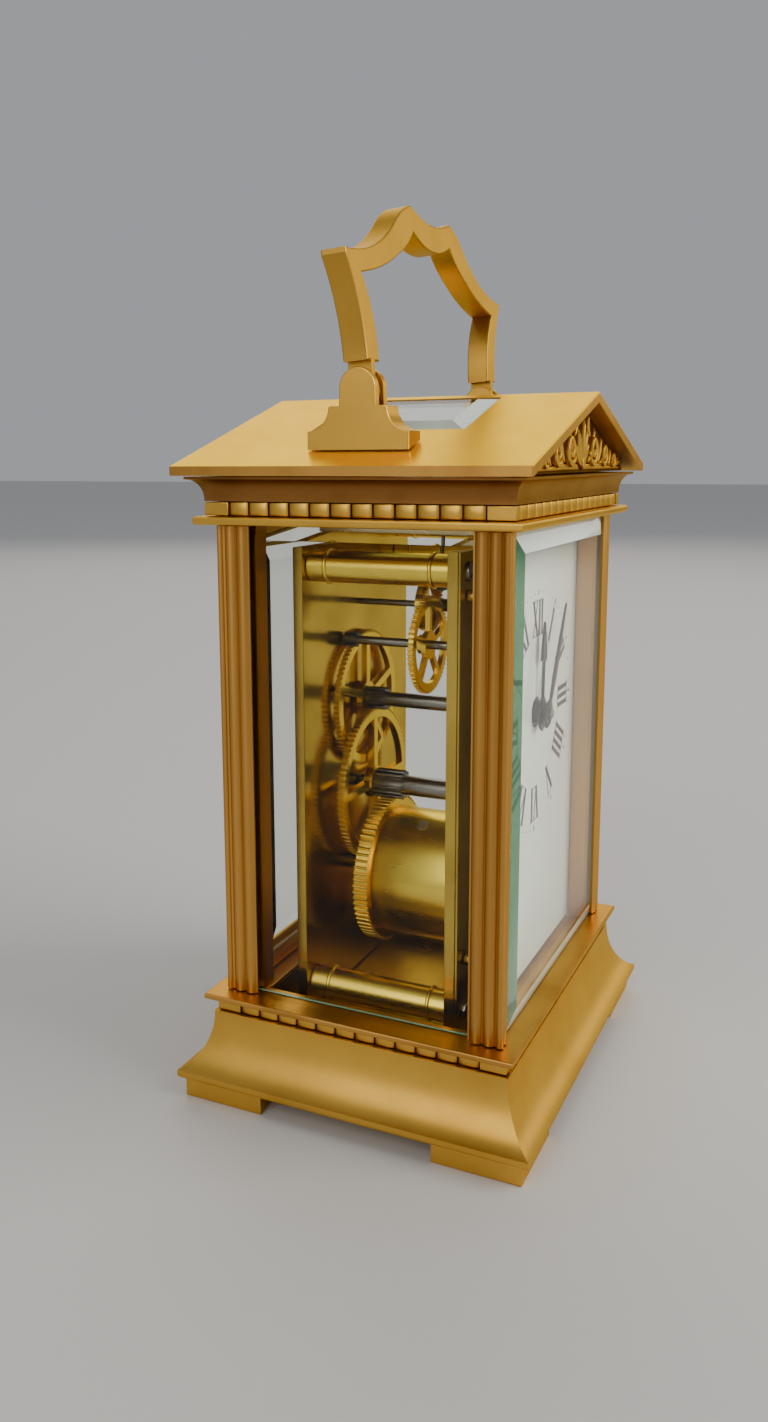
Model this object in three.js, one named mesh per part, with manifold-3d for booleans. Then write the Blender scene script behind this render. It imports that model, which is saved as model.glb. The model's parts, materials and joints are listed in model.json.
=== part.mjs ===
// Gilt-brass carriage clock with a pitched roof, fluted corner columns and a fold-down handle.
// Millimetres, +Z up. The origin is on the resting plane under the middle of the case; the dial faces -Y.
import * as THREE from 'three';
import * as BufferGeometryUtils from 'three/addons/utils/BufferGeometryUtils.js';
import Module from 'manifold-3d';

const wasm = await Module();
wasm.setup();

// ---- Driving dimensions -------------------------------------------------------------------------
const GAP = 0.3;

const FOOT = { halfX: 46.9, halfY: 38.7, height: 4.2, arm: 19, width: 7 };
const BASE = {
  halfX: 48, halfY: 40.3, bottom: 4.26, lip: 5.7, top: 19, topHalfX: 41.9, topHalfY: 33.9, lipDeg: 14,
};
const FLOOR = { z: 16, underside: 12, halfX: 34.4, halfY: 23.6, wall: 7 };
const BASE_STRIP = { halfX: 41.2, halfY: 33.4, bottom: 19.2, top: 22, notch: 0.9 };
const PLINTH = { halfX: 43.7, halfY: 35.4, bottom: 22.2, top: 23.44 };

const COLUMN = { outerX: 39.88, outerY: 32, width: 8.48, depth: 7.6, bottom: 23.7, top: 126.1 };
const ARCHITRAVE = { halfX: 43.4, halfY: 35.2, bottom: 126.4, top: 128.1 };
const FRIEZE = { halfX: 41.4, halfY: 33.4, bottom: 128.3, top: 131, notch: 0.8 };
// Tabs along X and Y, and the plain block at each end of a row in tab pitches.
const TABS = { alongX: 15, alongY: 12, blockX: 0.5, blockY: 1.25 };
const CROWN = { bottom: 131.2, coveTop: 135.6, top: 136.2, halfX: 41.4, halfY: 33.4, flareX: 3.4, flareY: 2.7 };
const TOP_OPENING = { halfX: 31, halfY: 22 };
const ROOF = { eaveX: 47.1, halfY: 38, bottom: 136.4, eaveTop: 138.3, ridge: 153.2, thickness: 2.6 };
const ROOF_PANE = {
  nearRidge: 2.2, width: 23.4, halfY: 17, thickness: 2.4, ledge: 1.4, proud: 0.7, bevel: 3.8,
};
const GABLE = { face: 33.6, thickness: 2, halfX: 42.6, bottom: 136.5, relief: 1.6 };

const PIVOT = { z: 152.5, blockInner: 32.4, blockOuter: 38.4, slot: 2.2, hole: 1.4, pin: 1.1 };
const BLOCK = {
  footY: 10.9, bottom: 139, footTop: 144.9, ledgeY: 6.3, shoulder: 148.9, ledge: 149.8,
  stem: 3.9, dome: 3.8, domeZ: 153.3, slotFloor: 148.3,
};
const HANDLE = { thickness: 5.2, legBottom: 158.2, tongue: 1.6, tongueRadius: 3.4, leanDeg: 4 };

const GLASS = { thickness: 2.6, edge: 1.2, bottom: 23.65, top: 126.15 };
const SIDE_GLASS = { inner: 36, halfY: 27.4, bevelY: 6, bevelZ: 2.9 };
const FRONT_GLASS = { inner: 29.3, halfX: 35.1, bevel: 4.6 };
const DOOR = { halfX: 31.1, inner: 27.6, outer: 30.8, bottom: 23.74, top: 126.1, openX: 25.6, openZ: 5.5 };
const DOOR_PIN = { x: 29.5, radius: 0.8, hole: 1.0, length: 1 };
const DOOR_SEAT = { lap: 1.7, depth: 1.9 };
const DOOR_KNOB_AT = [-28.3, 74.9];

const PLATE = {
  halfX: 28.4, bottom: 16.3, top: 121.2, frontOuter: -17.6, frontInner: -15.3, backInner: 17.5, backOuter: 19.8,
};
const PILLAR = { x: 23.6, topZ: 117, bottomZ: 22, radius: 3.45, ring: 3.85, neck: 4.4 };
const DIAL = { halfX: 33.8, front: -24.2, back: -22.6, bottom: 24.2, top: 125.6, hole: 3.3, foot: 1.5 };

// Gear pairs: teeth of the wheel, leaves of the pinion and the module that both share.
const GREAT = { wheel: 74, pinion: 14, module: 0.47 };
const INTERMEDIATE = { wheel: 86, pinion: 12, module: 0.42 };
const CENTRE = { wheel: 80, pinion: 8, module: 0.4 };
const THIRD = { wheel: 60, pinion: 8, module: 0.36 };
const MOTION_MINUTE = { wheel: 36, pinion: 12, module: 0.36 };
const MOTION_HOUR = { wheel: 40, pinion: 10, module: 0.3456 };

// ---- Places of the arbors, as [x, z] --------------------------------------------------------------
const meshDistance = (pair) => (pair.wheel + pair.pinion) * pair.module / 2;
const polar = ([x, z], distance, degrees) => {
  const angle = THREE.MathUtils.degToRad(degrees);
  return [x + distance * Math.cos(angle), z + distance * Math.sin(angle)];
};
const THIRD_BEARING = 120.3;
const CONTRATE_BEARING = 39;
const MOTION_BEARING = 215;
const barrelAt = [0, 42.4];
const intermediateAt = polar(barrelAt, meshDistance(GREAT), 90);
const centreAt = polar(intermediateAt, meshDistance(INTERMEDIATE), 90);
const thirdAt = polar(centreAt, meshDistance(CENTRE), THIRD_BEARING);
const contrateAt = polar(thirdAt, meshDistance(THIRD), CONTRATE_BEARING);
const minuteWheelAt = polar(centreAt, meshDistance(MOTION_MINUTE), MOTION_BEARING);

// ---- Materials ------------------------------------------------------------------------------------
const metal = (color, roughness) => new THREE.MeshStandardMaterial({ color, roughness, metalness: 1 });
const gilt = metal(0xc69646, 0.36);
const roofGilt = metal(0xe1b95a, 0.34);
const columnGilt = metal(0xb98240, 0.4);
const polishedBrass = metal(0xd9b45e, 0.16);
const wheelBrass = metal(0xd2a54c, 0.24);
const steel = metal(0x6a6a6c, 0.22);
const blued = metal(0x1b1d2c, 0.3);
const silvered = metal(0xcfccc2, 0.3);
const enamel = new THREE.MeshStandardMaterial({ color: 0xf3f1e8, roughness: 0.18, metalness: 0 });
const glass = new THREE.MeshStandardMaterial({
  color: 0xcfe3da, roughness: 0.03, metalness: 0, transparent: true, opacity: 0.25,
});

const group = new THREE.Group();

function add(name, geometry, material, parent = group) {
  const mesh = new THREE.Mesh(geometry, material);
  mesh.name = name;
  parent.add(mesh);
  return mesh;
}

// ---- Solids ---------------------------------------------------------------------------------------
function toSolid(geometry) {
  const bare = geometry.clone();
  bare.deleteAttribute('normal');
  bare.deleteAttribute('uv');
  const merged = BufferGeometryUtils.mergeVertices(bare, 1e-5);
  return new wasm.Manifold(new wasm.Mesh({
    numProp: 3,
    vertProperties: new Float32Array(merged.attributes.position.array),
    triVerts: new Uint32Array(merged.index.array),
  }));
}

function toGeometry(solid) {
  const mesh = solid.getMesh();
  const geometry = new THREE.BufferGeometry();
  geometry.setAttribute('position', new THREE.BufferAttribute(new Float32Array(mesh.vertProperties), 3));
  geometry.setIndex(new THREE.BufferAttribute(new Uint32Array(mesh.triVerts), 1));
  geometry.computeVertexNormals();
  return geometry;
}

function cut(body, ...tools) {
  return toGeometry(tools.reduce((solid, tool) => solid.subtract(toSolid(tool)), toSolid(body)));
}

function join(...pieces) {
  return toGeometry(pieces.slice(1).reduce((solid, piece) => solid.add(toSolid(piece)), toSolid(pieces[0])));
}

function box(x0, x1, y0, y1, z0, z1) {
  const geometry = new THREE.BoxGeometry(x1 - x0, y1 - y0, z1 - z0);
  return geometry.translate((x0 + x1) / 2, (y0 + y1) / 2, (z0 + z1) / 2);
}

// A stack of rectangles [half width, half depth, height], joined into one closed solid.
function rectStack(levels) {
  const positions = [];
  const index = [];
  for (const [halfX, halfY, z] of levels) {
    positions.push(-halfX, -halfY, z, halfX, -halfY, z, halfX, halfY, z, -halfX, halfY, z);
  }
  for (let level = 0; level < levels.length - 1; level += 1) {
    for (let side = 0; side < 4; side += 1) {
      const a = level * 4 + side;
      const b = level * 4 + (side + 1) % 4;
      index.push(a, b, b + 4, a, b + 4, a + 4);
    }
  }
  const top = (levels.length - 1) * 4;
  index.push(0, 2, 1, 0, 3, 2, top, top + 1, top + 2, top, top + 2, top + 3);
  const geometry = new THREE.BufferGeometry();
  geometry.setAttribute('position', new THREE.Float32BufferAttribute(positions, 3));
  geometry.setIndex(index);
  geometry.computeVertexNormals();
  return geometry;
}

function extrude(shape, depth, curveSegments = 6) {
  return new THREE.ExtrudeGeometry(shape, { depth, bevelEnabled: false, curveSegments });
}

// Prisms along each axis: the shape lies in XY, in XZ or in YZ.
const prismZ = (shape, z0, z1, segments) => extrude(shape, z1 - z0, segments).translate(0, 0, z0);
const prismY = (shape, y0, y1, segments) => (
  extrude(shape, y1 - y0, segments).rotateX(Math.PI / 2).translate(0, y1, 0)
);
const YZ_PLANE = new THREE.Matrix4().set(0, 0, 1, 0, 1, 0, 0, 0, 0, 1, 0, 0, 0, 0, 0, 1);
const prismX = (shape, x0, x1, segments) => (
  extrude(shape, x1 - x0, segments).applyMatrix4(YZ_PLANE).translate(x0, 0, 0)
);

// A round rod along Y through [x, z], and one along X or Z.
function rodY([x, z], radius, y0, y1, sides = 12) {
  return new THREE.CylinderGeometry(radius, radius, y1 - y0, sides).translate(x, (y0 + y1) / 2, z);
}

function rodX(y, z, radius, x0, x1, sides = 12) {
  const rod = new THREE.CylinderGeometry(radius, radius, x1 - x0, sides).rotateZ(Math.PI / 2);
  return rod.translate((x0 + x1) / 2, y, z);
}

function rodZ(x, y, radius, z0, z1, sides = 12) {
  const rod = new THREE.CylinderGeometry(radius, radius, z1 - z0, sides).rotateX(Math.PI / 2);
  return rod.translate(x, y, (z0 + z1) / 2);
}

const polygon = (points) => new THREE.Shape(points.map(([x, y]) => new THREE.Vector2(x, y)));

// A body turned about Y through [x, z]: the profile lists [radius, y] from the axis back to the axis.
function turnedY([x, z], profile, sides = 14) {
  const points = profile.map(([radius, y]) => new THREE.Vector2(radius, y));
  return new THREE.LatheGeometry(points, sides).translate(x, 0, z);
}

function rectangle(halfX, halfY, hole) {
  const shape = polygon([[-halfX, -halfY], [halfX, -halfY], [halfX, halfY], [-halfX, halfY]]);
  if (hole) {
    const { halfX: hx, halfY: hy } = hole;
    shape.holes.push(new THREE.Path(
      [[-hx, -hy], [-hx, hy], [hx, hy], [hx, -hy]].map(([x, y]) => new THREE.Vector2(x, y)),
    ));
  }
  return shape;
}

// A rectangle whose sides are cut into tabs by V notches, with a plain block at each corner.
function tabbedRectangle({ halfX, halfY, notch }, hole) {
  const points = [];
  const half = notch * 0.7;
  const side = (fromX, fromY, alongX, alongY, length, tabs, block) => {
    const pitch = length / (tabs + 2 * block);
    points.push([fromX, fromY]);
    for (let tab = 0; tab <= tabs; tab += 1) {
      const at = pitch * (tab + block);
      points.push([fromX + alongX * (at - half), fromY + alongY * (at - half)]);
      points.push([fromX + alongX * at - alongY * notch, fromY + alongY * at + alongX * notch]);
      points.push([fromX + alongX * (at + half), fromY + alongY * (at + half)]);
    }
  };
  const rowX = [2 * halfX, TABS.alongX, TABS.blockX];
  const rowY = [2 * halfY, TABS.alongY, TABS.blockY];
  side(-halfX, -halfY, 1, 0, ...rowX);
  side(halfX, -halfY, 0, 1, ...rowY);
  side(halfX, halfY, -1, 0, ...rowX);
  side(-halfX, halfY, 0, -1, ...rowY);
  const shape = polygon(points);
  shape.holes = rectangle(halfX, halfY, hole).holes;
  return shape;
}

// ---- Case -----------------------------------------------------------------------------------------
function baseMoulding() {
  const steps = 8;
  const chamfer = 0.5;
  const { halfX, halfY, topHalfX, topHalfY, bottom, lip, top } = BASE;
  const start = THREE.MathUtils.degToRad(BASE.lipDeg);
  const levels = [[halfX - chamfer, halfY - chamfer, bottom], [halfX, halfY, bottom + chamfer]];
  for (let step = 0; step <= steps; step += 1) {
    const angle = start + (Math.PI / 2 - start) * step / steps;
    const inward = (Math.sin(angle) - Math.sin(start)) / (1 - Math.sin(start));
    levels.push([
      halfX - (halfX - topHalfX) * inward,
      halfY - (halfY - topHalfY) * inward,
      lip + (top - lip) * (1 - Math.cos(angle) / Math.cos(start)),
    ]);
  }
  const well = box(-FLOOR.halfX, FLOOR.halfX, -FLOOR.halfY, FLOOR.halfY, FLOOR.z, BASE.top + 1);
  const underX = BASE.topHalfX - FLOOR.wall;
  const underY = BASE.topHalfY - FLOOR.wall;
  const underside = box(-underX, underX, -underY, underY, BASE.bottom - 1, FLOOR.underside);
  return cut(rectStack(levels), well, underside);
}

function foot(signX, signY) {
  const { halfX, halfY, arm, width } = FOOT;
  const corner = [[0, 0], [arm, 0], [arm, width], [width, width], [width, arm], [0, arm]];
  const points = corner.map(([x, y]) => [signX * (halfX - x), signY * (halfY - y)]);
  if (signX * signY < 0) {
    points.reverse();
  }
  return prismZ(polygon(points), 0, FOOT.height);
}

// Section of a corner column at +X, +Y: reeds on the two outer faces and slots for the glasses.
function columnOutline(glassAtEnd) {
  const { outerX, outerY, width, depth } = COLUMN;
  const innerX = outerX - width;
  const innerY = outerY - depth;
  const reedSteps = 4;
  const points = [];
  const reed = (fromX, fromY, toX, toY, outX, outY, rise) => {
    for (let step = 0; step <= reedSteps; step += 1) {
      const t = step / reedSteps;
      const bulge = rise * (Math.sin(Math.PI * t) - 1);
      points.push([fromX + (toX - fromX) * t + outX * bulge, fromY + (toY - fromY) * t + outY * bulge]);
    }
  };
  points.push([outerX - 0.7, innerY]);
  reed(outerX, innerY + 0.5, outerX, innerY + 3.05, 1, 0, 0.65);
  reed(outerX, innerY + 3.15, outerX, innerY + 5.7, 1, 0, 0.65);
  points.push([outerX, innerY + 6.1], [outerX, outerY - 0.5], [outerX - 0.5, outerY], [outerX - 1.5, outerY]);
  reed(outerX - 1.8, outerY, outerX - 3.9, outerY, 0, 1, 0.5);
  if (glassAtEnd) {
    const step = FRONT_GLASS.halfX + GAP;
    const seat = FRONT_GLASS.inner - GAP;
    points.push([step, outerY - 0.3], [step, seat], [innerX, seat], [innerX, innerY]);
  } else {
    points.push([innerX, outerY - 0.3], [innerX, innerY]);
  }
  const slotInner = SIDE_GLASS.inner - 0.2;
  const slotOuter = SIDE_GLASS.inner + GLASS.thickness + 0.2;
  const slotEnd = SIDE_GLASS.halfY + 0.2;
  points.push([slotInner, innerY], [slotInner, slotEnd], [slotOuter, slotEnd], [slotOuter, innerY]);
  return points;
}

function column(signX, signY) {
  const points = columnOutline(signY < 0).map(([x, y]) => [signX * x, signY * y]);
  if (signX * signY < 0) {
    points.reverse();
  }
  return prismZ(polygon(points), COLUMN.bottom, COLUMN.top);
}

const roofTopAt = (x) => ROOF.ridge - (ROOF.ridge - ROOF.eaveTop) * Math.abs(x) / ROOF.eaveX;
const PITCH = Math.atan2(ROOF.ridge - ROOF.eaveTop, ROOF.eaveX);

function crown() {
  const steps = 5;
  const levels = [];
  for (let step = 0; step <= steps; step += 1) {
    const angle = step / steps * Math.PI / 2;
    levels.push([
      CROWN.halfX + CROWN.flareX * (1 - Math.cos(angle)),
      CROWN.halfY + CROWN.flareY * (1 - Math.cos(angle)),
      CROWN.bottom + (CROWN.coveTop - CROWN.bottom) * Math.sin(angle),
    ]);
  }
  const [widestX, widestY] = levels[steps];
  levels.push([widestX, widestY, CROWN.top]);
  const { halfX, halfY } = TOP_OPENING;
  return cut(rectStack(levels), box(-halfX, halfX, -halfY, halfY, CROWN.bottom - 1, CROWN.top + 1));
}

// Lays a piece made flat around the origin onto a roof slope, its outer face up.
function onSlope(geometry, side, lift) {
  const middle = ROOF_PANE.nearRidge + ROOF_PANE.width * Math.cos(PITCH) / 2;
  geometry.translate(0, 0, lift);
  geometry.rotateY(side * PITCH);
  return geometry.translate(side * middle, 0, roofTopAt(middle));
}

function roof() {
  const { eaveX, halfY, bottom, eaveTop, ridge, thickness } = ROOF;
  const drop = thickness / Math.cos(PITCH);
  const innerX = eaveX * (ridge - drop - bottom) / (ridge - eaveTop);
  const section = polygon([
    [-eaveX, bottom], [-innerX, bottom], [0, ridge - drop], [innerX, bottom], [eaveX, bottom],
    [eaveX, eaveTop], [0, ridge], [-eaveX, eaveTop],
  ]);
  const tools = [];
  for (const side of [-1, 1]) {
    const seatX = ROOF_PANE.width / 2 + GAP;
    const seatY = ROOF_PANE.halfY + GAP;
    const seatDepth = ROOF_PANE.thickness - ROOF_PANE.proud + GAP;
    const openX = seatX - ROOF_PANE.ledge;
    const openY = seatY - ROOF_PANE.ledge;
    tools.push(onSlope(box(-seatX, seatX, -seatY, seatY, 0, 4), side, -seatDepth));
    tools.push(onSlope(box(-openX, openX, -openY, openY, -6, 2), side, 0));
  }
  return cut(prismY(section, -halfY, halfY), ...tools);
}

function roofPane(side) {
  const halfX = ROOF_PANE.width / 2;
  const { halfY, thickness, proud, bevel } = ROOF_PANE;
  const edge = thickness - 1.1;
  const pane = rectStack([[halfX, halfY, 0], [halfX, halfY, edge], [halfX - bevel, halfY - bevel, thickness]]);
  return onSlope(pane, side, proud - thickness);
}

// A tapering spiral ribbon, the scroll of the cast gable ornament.
function scroll(cx, cz, radius, turns, startDeg, hand, ribbon) {
  const steps = Math.round(turns * 8);
  const outer = [];
  const inner = [];
  for (let step = 0; step <= steps; step += 1) {
    const t = step / steps;
    const angle = THREE.MathUtils.degToRad(startDeg) + hand * turns * 2 * Math.PI * t;
    const reach = radius * (1 - 0.72 * t);
    const half = ribbon / 2 * (1 - 0.45 * t);
    outer.push([cx + (reach + half) * Math.cos(angle), cz + (reach + half) * Math.sin(angle)]);
    inner.push([cx + (reach - half) * Math.cos(angle), cz + (reach - half) * Math.sin(angle)]);
  }
  const points = [...outer, ...inner.reverse()];
  return polygon(hand > 0 ? points : points.reverse());
}

// The recessed triangular panel with its raised scrolls, on the front gable or the rear one.
function gable(signY) {
  const { face, thickness, halfX, bottom, relief } = GABLE;
  const apex = ROOF.ridge - ROOF.thickness / Math.cos(PITCH) - GAP;
  const panelTopAt = (x) => apex - (ROOF.ridge - ROOF.eaveTop) * Math.abs(x) / ROOF.eaveX;
  const panel = polygon([
    [-halfX, bottom], [halfX, bottom], [halfX, panelTopAt(halfX)], [0, apex], [-halfX, panelTopAt(halfX)],
  ]);
  const slab = (shape, inner, outer) => {
    const [y0, y1] = [signY * inner, signY * outer].sort((a, b) => a - b);
    return prismY(shape, y0, y1, 4);
  };
  const raised = (shape) => slab(shape, face - 0.4, face + relief);
  const pieces = [slab(panel, face - thickness, face)];
  for (const hand of [-1, 1]) {
    const start = hand > 0 ? 200 : -20;
    pieces.push(raised(scroll(hand * 9.5, 141.2, 3.4, 1.1, start, hand, 1.5)));
    pieces.push(raised(scroll(hand * 19.5, 140.2, 2.5, 1.1, start, hand, 1.3)));
    pieces.push(raised(scroll(hand * 28, 139.2, 1.7, 0.9, start, hand, 1.1)));
    pieces.push(raised(polygon(hand > 0
      ? [[2, 137.2], [37, 137.2], [30, 138.4], [4, 138.6]]
      : [[-37, 137.2], [-2, 137.2], [-4, 138.6], [-30, 138.4]])));
  }
  const shell = [[-3.4, 138], [3.4, 138], [4.6, 142.4], [2.9, 146], [0, 147.6], [-2.9, 146], [-4.6, 142.4]];
  pieces.push(raised(polygon(shell)));
  return join(...pieces);
}

// ---- Handle ---------------------------------------------------------------------------------------
// A slotted lug with a domed stem on a stepped foot, its underside cut to the pitch of the roof.
function handleBlock(side) {
  const { footY, footTop, ledgeY, shoulder, ledge, stem, dome, domeZ, bottom, slotFloor } = BLOCK;
  const shape = new THREE.Shape();
  shape.moveTo(-footY, bottom);
  shape.lineTo(footY, bottom);
  shape.lineTo(footY, footTop);
  shape.quadraticCurveTo(ledgeY + 0.7, footTop + 0.7, ledgeY, shoulder);
  shape.lineTo(ledgeY, ledge);
  shape.lineTo(stem, ledge);
  shape.lineTo(dome, domeZ);
  shape.absarc(0, domeZ, dome, 0, Math.PI, false);
  shape.lineTo(-stem, ledge);
  shape.lineTo(-ledgeY, ledge);
  shape.lineTo(-ledgeY, shoulder);
  shape.quadraticCurveTo(-ledgeY - 0.7, footTop + 0.7, -footY, footTop);
  const x0 = side > 0 ? PIVOT.blockInner : -PIVOT.blockOuter;
  const middle = side * (PIVOT.blockInner + PIVOT.blockOuter) / 2;
  const slotX = PIVOT.slot / 2;
  const slotY = stem + 0.2;
  const slot = box(middle - slotX, middle + slotX, -slotY, slotY, slotFloor, domeZ + 9);
  const bore = rodX(0, PIVOT.z, PIVOT.hole, middle - 6, middle + 6);
  const reach = 60;
  const low = roofTopAt(reach) + GAP;
  const slope = polygon([[-reach, low], [0, ROOF.ridge + GAP], [reach, low], [reach, 100], [-reach, 100]]);
  const roofBody = prismY(slope, -2 * footY, 2 * footY);
  return cut(prismX(shape, x0, x0 + PIVOT.blockOuter - PIVOT.blockInner, 5), slot, bore, roofBody);
}

function handlePin(side) {
  const reach = (PIVOT.blockInner + PIVOT.blockOuter) / 2;
  const length = PIVOT.blockOuter - PIVOT.blockInner - 0.4;
  return rodX(0, PIVOT.z, PIVOT.pin, side * reach - length / 2, side * reach + length / 2);
}

// Half of the handle's outline at +X, in its own upright plane, from the crest down to the leg and back.
function traceHandleOuter(shape, sign) {
  shape.quadraticCurveTo(sign * 5, 189.5, sign * 11.3, 191.6);
  shape.quadraticCurveTo(sign * 15.6, 190.6, sign * 19.6, 187.2);
  shape.quadraticCurveTo(sign * 30, 178.6, sign * 44.6, 178.1);
  shape.lineTo(sign * 44.7, 177.1);
  shape.quadraticCurveTo(sign * 38.6, 168, sign * 38.2, HANDLE.legBottom);
}

function traceHandleInner(shape, sign) {
  shape.quadraticCurveTo(sign * 32.5, 167.5, sign * 38, 174.4);
  shape.quadraticCurveTo(sign * 27, 176.4, sign * 20, 180.1);
  shape.quadraticCurveTo(sign * 13.6, 182.8, sign * 10.7, 186.3);
  shape.quadraticCurveTo(sign * 5, 183.6, 0, 183.8);
}

function handleOutline() {
  const right = new THREE.Shape();
  right.moveTo(0, 189.5);
  traceHandleOuter(right, 1);
  right.lineTo(32.4, HANDLE.legBottom);
  traceHandleInner(right, 1);
  const half = right.getPoints(4);
  const left = half.slice(1, -1).reverse().map((point) => new THREE.Vector2(-point.x, point.y));
  return new THREE.Shape([...half, ...left]);
}

function handle() {
  const half = HANDLE.thickness / 2;
  const pieces = [prismY(handleOutline(), -half, half)];
  const reach = (PIVOT.blockInner + PIVOT.blockOuter) / 2;
  for (const side of [-1, 1]) {
    const x0 = side * reach - HANDLE.tongue / 2;
    const x1 = side * reach + HANDLE.tongue / 2;
    pieces.push(rodX(0, PIVOT.z, HANDLE.tongueRadius, x0, x1, 14));
    pieces.push(box(x0, x1, -half, half, PIVOT.z + 1, HANDLE.legBottom + 1));
  }
  const bores = [-1, 1].map((side) => rodX(0, PIVOT.z, PIVOT.hole, side * reach - 4, side * reach + 4));
  return cut(join(...pieces), ...bores).translate(0, 0, -PIVOT.z);
}

// ---- Glasses and door -----------------------------------------------------------------------------
function bevelledGlass(halfX, halfZ, bevelX, bevelZ) {
  const { thickness, edge } = GLASS;
  return rectStack([[halfX, halfZ, 0], [halfX, halfZ, edge], [halfX - bevelX, halfZ - bevelZ, thickness]]);
}

const glassMiddle = (GLASS.bottom + GLASS.top) / 2;
const glassHalf = (GLASS.top - GLASS.bottom) / 2;

function sideGlass(side) {
  const pane = bevelledGlass(SIDE_GLASS.halfY, glassHalf, SIDE_GLASS.bevelY, SIDE_GLASS.bevelZ);
  pane.rotateX(Math.PI / 2).rotateZ(side * Math.PI / 2);
  return pane.translate(side * SIDE_GLASS.inner, 0, glassMiddle);
}

function frontGlass() {
  const pane = bevelledGlass(FRONT_GLASS.halfX, glassHalf, FRONT_GLASS.bevel, FRONT_GLASS.bevel);
  return pane.rotateX(Math.PI / 2).translate(0, -FRONT_GLASS.inner, glassMiddle);
}

function doorFrame() {
  const { halfX, inner, outer, bottom, top, openX, openZ } = DOOR;
  const middleY = (inner + outer) / 2;
  const frame = join(
    box(-halfX, DOOR_PIN.x, inner, outer, bottom, top),
    rodZ(DOOR_PIN.x, middleY, (outer - inner) / 2, bottom, top, 16),
    rodZ(DOOR_PIN.x, middleY, DOOR_PIN.radius, bottom - DOOR_PIN.length, top + DOOR_PIN.length),
  );
  const opening = box(-openX, openX, inner - 1, outer + 1, bottom + openZ, top - openZ);
  const seatX = openX + DOOR_SEAT.lap;
  const seatZ = openZ - DOOR_SEAT.lap;
  const rebate = box(-seatX, seatX, inner - 1, inner + DOOR_SEAT.depth, bottom + seatZ, top - seatZ);
  return cut(frame, opening, rebate);
}

function doorGlass() {
  const halfX = DOOR.openX + 1.4;
  const halfZ = (DOOR.top - DOOR.bottom) / 2 - DOOR.openZ + 1.4;
  const pane = rectStack([[halfX, halfZ, 0], [halfX, halfZ, 0.7], [halfX - 4.4, halfZ - 4.4, 1.6]]);
  pane.rotateX(-Math.PI / 2);
  return pane.translate(0, DOOR.inner + 0.05, (DOOR.top + DOOR.bottom) / 2);
}

function doorKnob() {
  const at = DOOR.outer + GAP;
  const profile = [
    [0, 0], [1.9, 0], [1.9, 0.6], [0.9, 0.9], [0.9, 1.8], [2, 2.6], [2.2, 3.5], [1.4, 4.6], [0, 4.9],
  ];
  return turnedY(DOOR_KNOB_AT, profile.map(([radius, y]) => [radius, at + y]));
}

// ---- Movement -------------------------------------------------------------------------------------
// A gear outline around the origin with a tooth pointing at toothDeg; two corners to a tooth.
function gearShape(teeth, module, toothDeg) {
  const pitchRadius = teeth * module / 2;
  const tip = pitchRadius + 0.42 * module;
  const root = pitchRadius - 1.0 * module;
  const points = [];
  for (let corner = 0; corner < teeth * 2; corner += 1) {
    const angle = THREE.MathUtils.degToRad(toothDeg) + corner * Math.PI / teeth;
    const radius = corner % 2 === 0 ? tip : root;
    points.push([radius * Math.cos(angle), radius * Math.sin(angle)]);
  }
  return polygon(points);
}

// Cuts the windows between the arms of a wheel, and its bore.
function crossOut(shape, arms, hub, rim, armWidth, turnDeg = 90) {
  const arcSteps = 3;
  for (let arm = 0; arm < arms; arm += 1) {
    const start = THREE.MathUtils.degToRad(turnDeg) + arm * 2 * Math.PI / arms;
    const end = start + 2 * Math.PI / arms;
    const points = [];
    const arc = (radius, from, to) => {
      const inset = Math.asin(armWidth / 2 / radius) * Math.sign(to - from);
      for (let step = 0; step <= arcSteps; step += 1) {
        const angle = from + inset + (to - from - 2 * inset) * step / arcSteps;
        points.push(new THREE.Vector2(radius * Math.cos(angle), radius * Math.sin(angle)));
      }
    };
    arc(rim, start, end);
    arc(hub, end, start);
    shape.holes.push(new THREE.Path(points));
  }
  return shape;
}

function bored(shape, radius, sides = 12) {
  const hole = new THREE.Path();
  hole.absarc(0, 0, radius, 0, 2 * Math.PI, true);
  shape.holes.push(new THREE.Path(hole.getPoints(sides).slice(0, -1)));
  return shape;
}

const place = (geometry, [x, z]) => geometry.translate(x, 0, z);
const pinionPhase = (bearing, leaves) => bearing + 180 + 180 / leaves;

function wheel(pair, at, bearing, y0, y1, arms, bore) {
  const rim = pair.wheel * pair.module / 2 - 2.6 * Math.sqrt(pair.module / 0.4);
  const shape = crossOut(gearShape(pair.wheel, pair.module, bearing), arms, bore + 2.2, rim, 1.7);
  return place(prismY(bored(shape, bore), y0, y1), at);
}

function plate(y0, y1, holes) {
  const { halfX, bottom, top } = PLATE;
  const shape = polygon([[-halfX, bottom], [halfX, bottom], [halfX, top], [-halfX, top]]);
  for (const [[x, z], radius] of holes) {
    const hole = new THREE.Path();
    hole.absarc(x, z, radius, 0, 2 * Math.PI, true);
    shape.holes.push(new THREE.Path(hole.getPoints(10).slice(0, -1)));
  }
  return prismY(shape, y0, y1);
}

function pillar(x, z) {
  const front = PLATE.frontInner + 0.05;
  const back = PLATE.backInner - 0.05;
  const { radius, ring, neck } = PILLAR;
  return turnedY([x, z], [
    [0, front], [radius, front],
    [radius, front + neck], [ring, front + neck + 0.3], [ring, front + neck + 0.8], [radius, front + neck + 1.1],
    [radius, back - neck - 1.1], [ring, back - neck - 0.8], [ring, back - neck - 0.3], [radius, back - neck],
    [radius, back], [0, back],
  ], 12);
}

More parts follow.
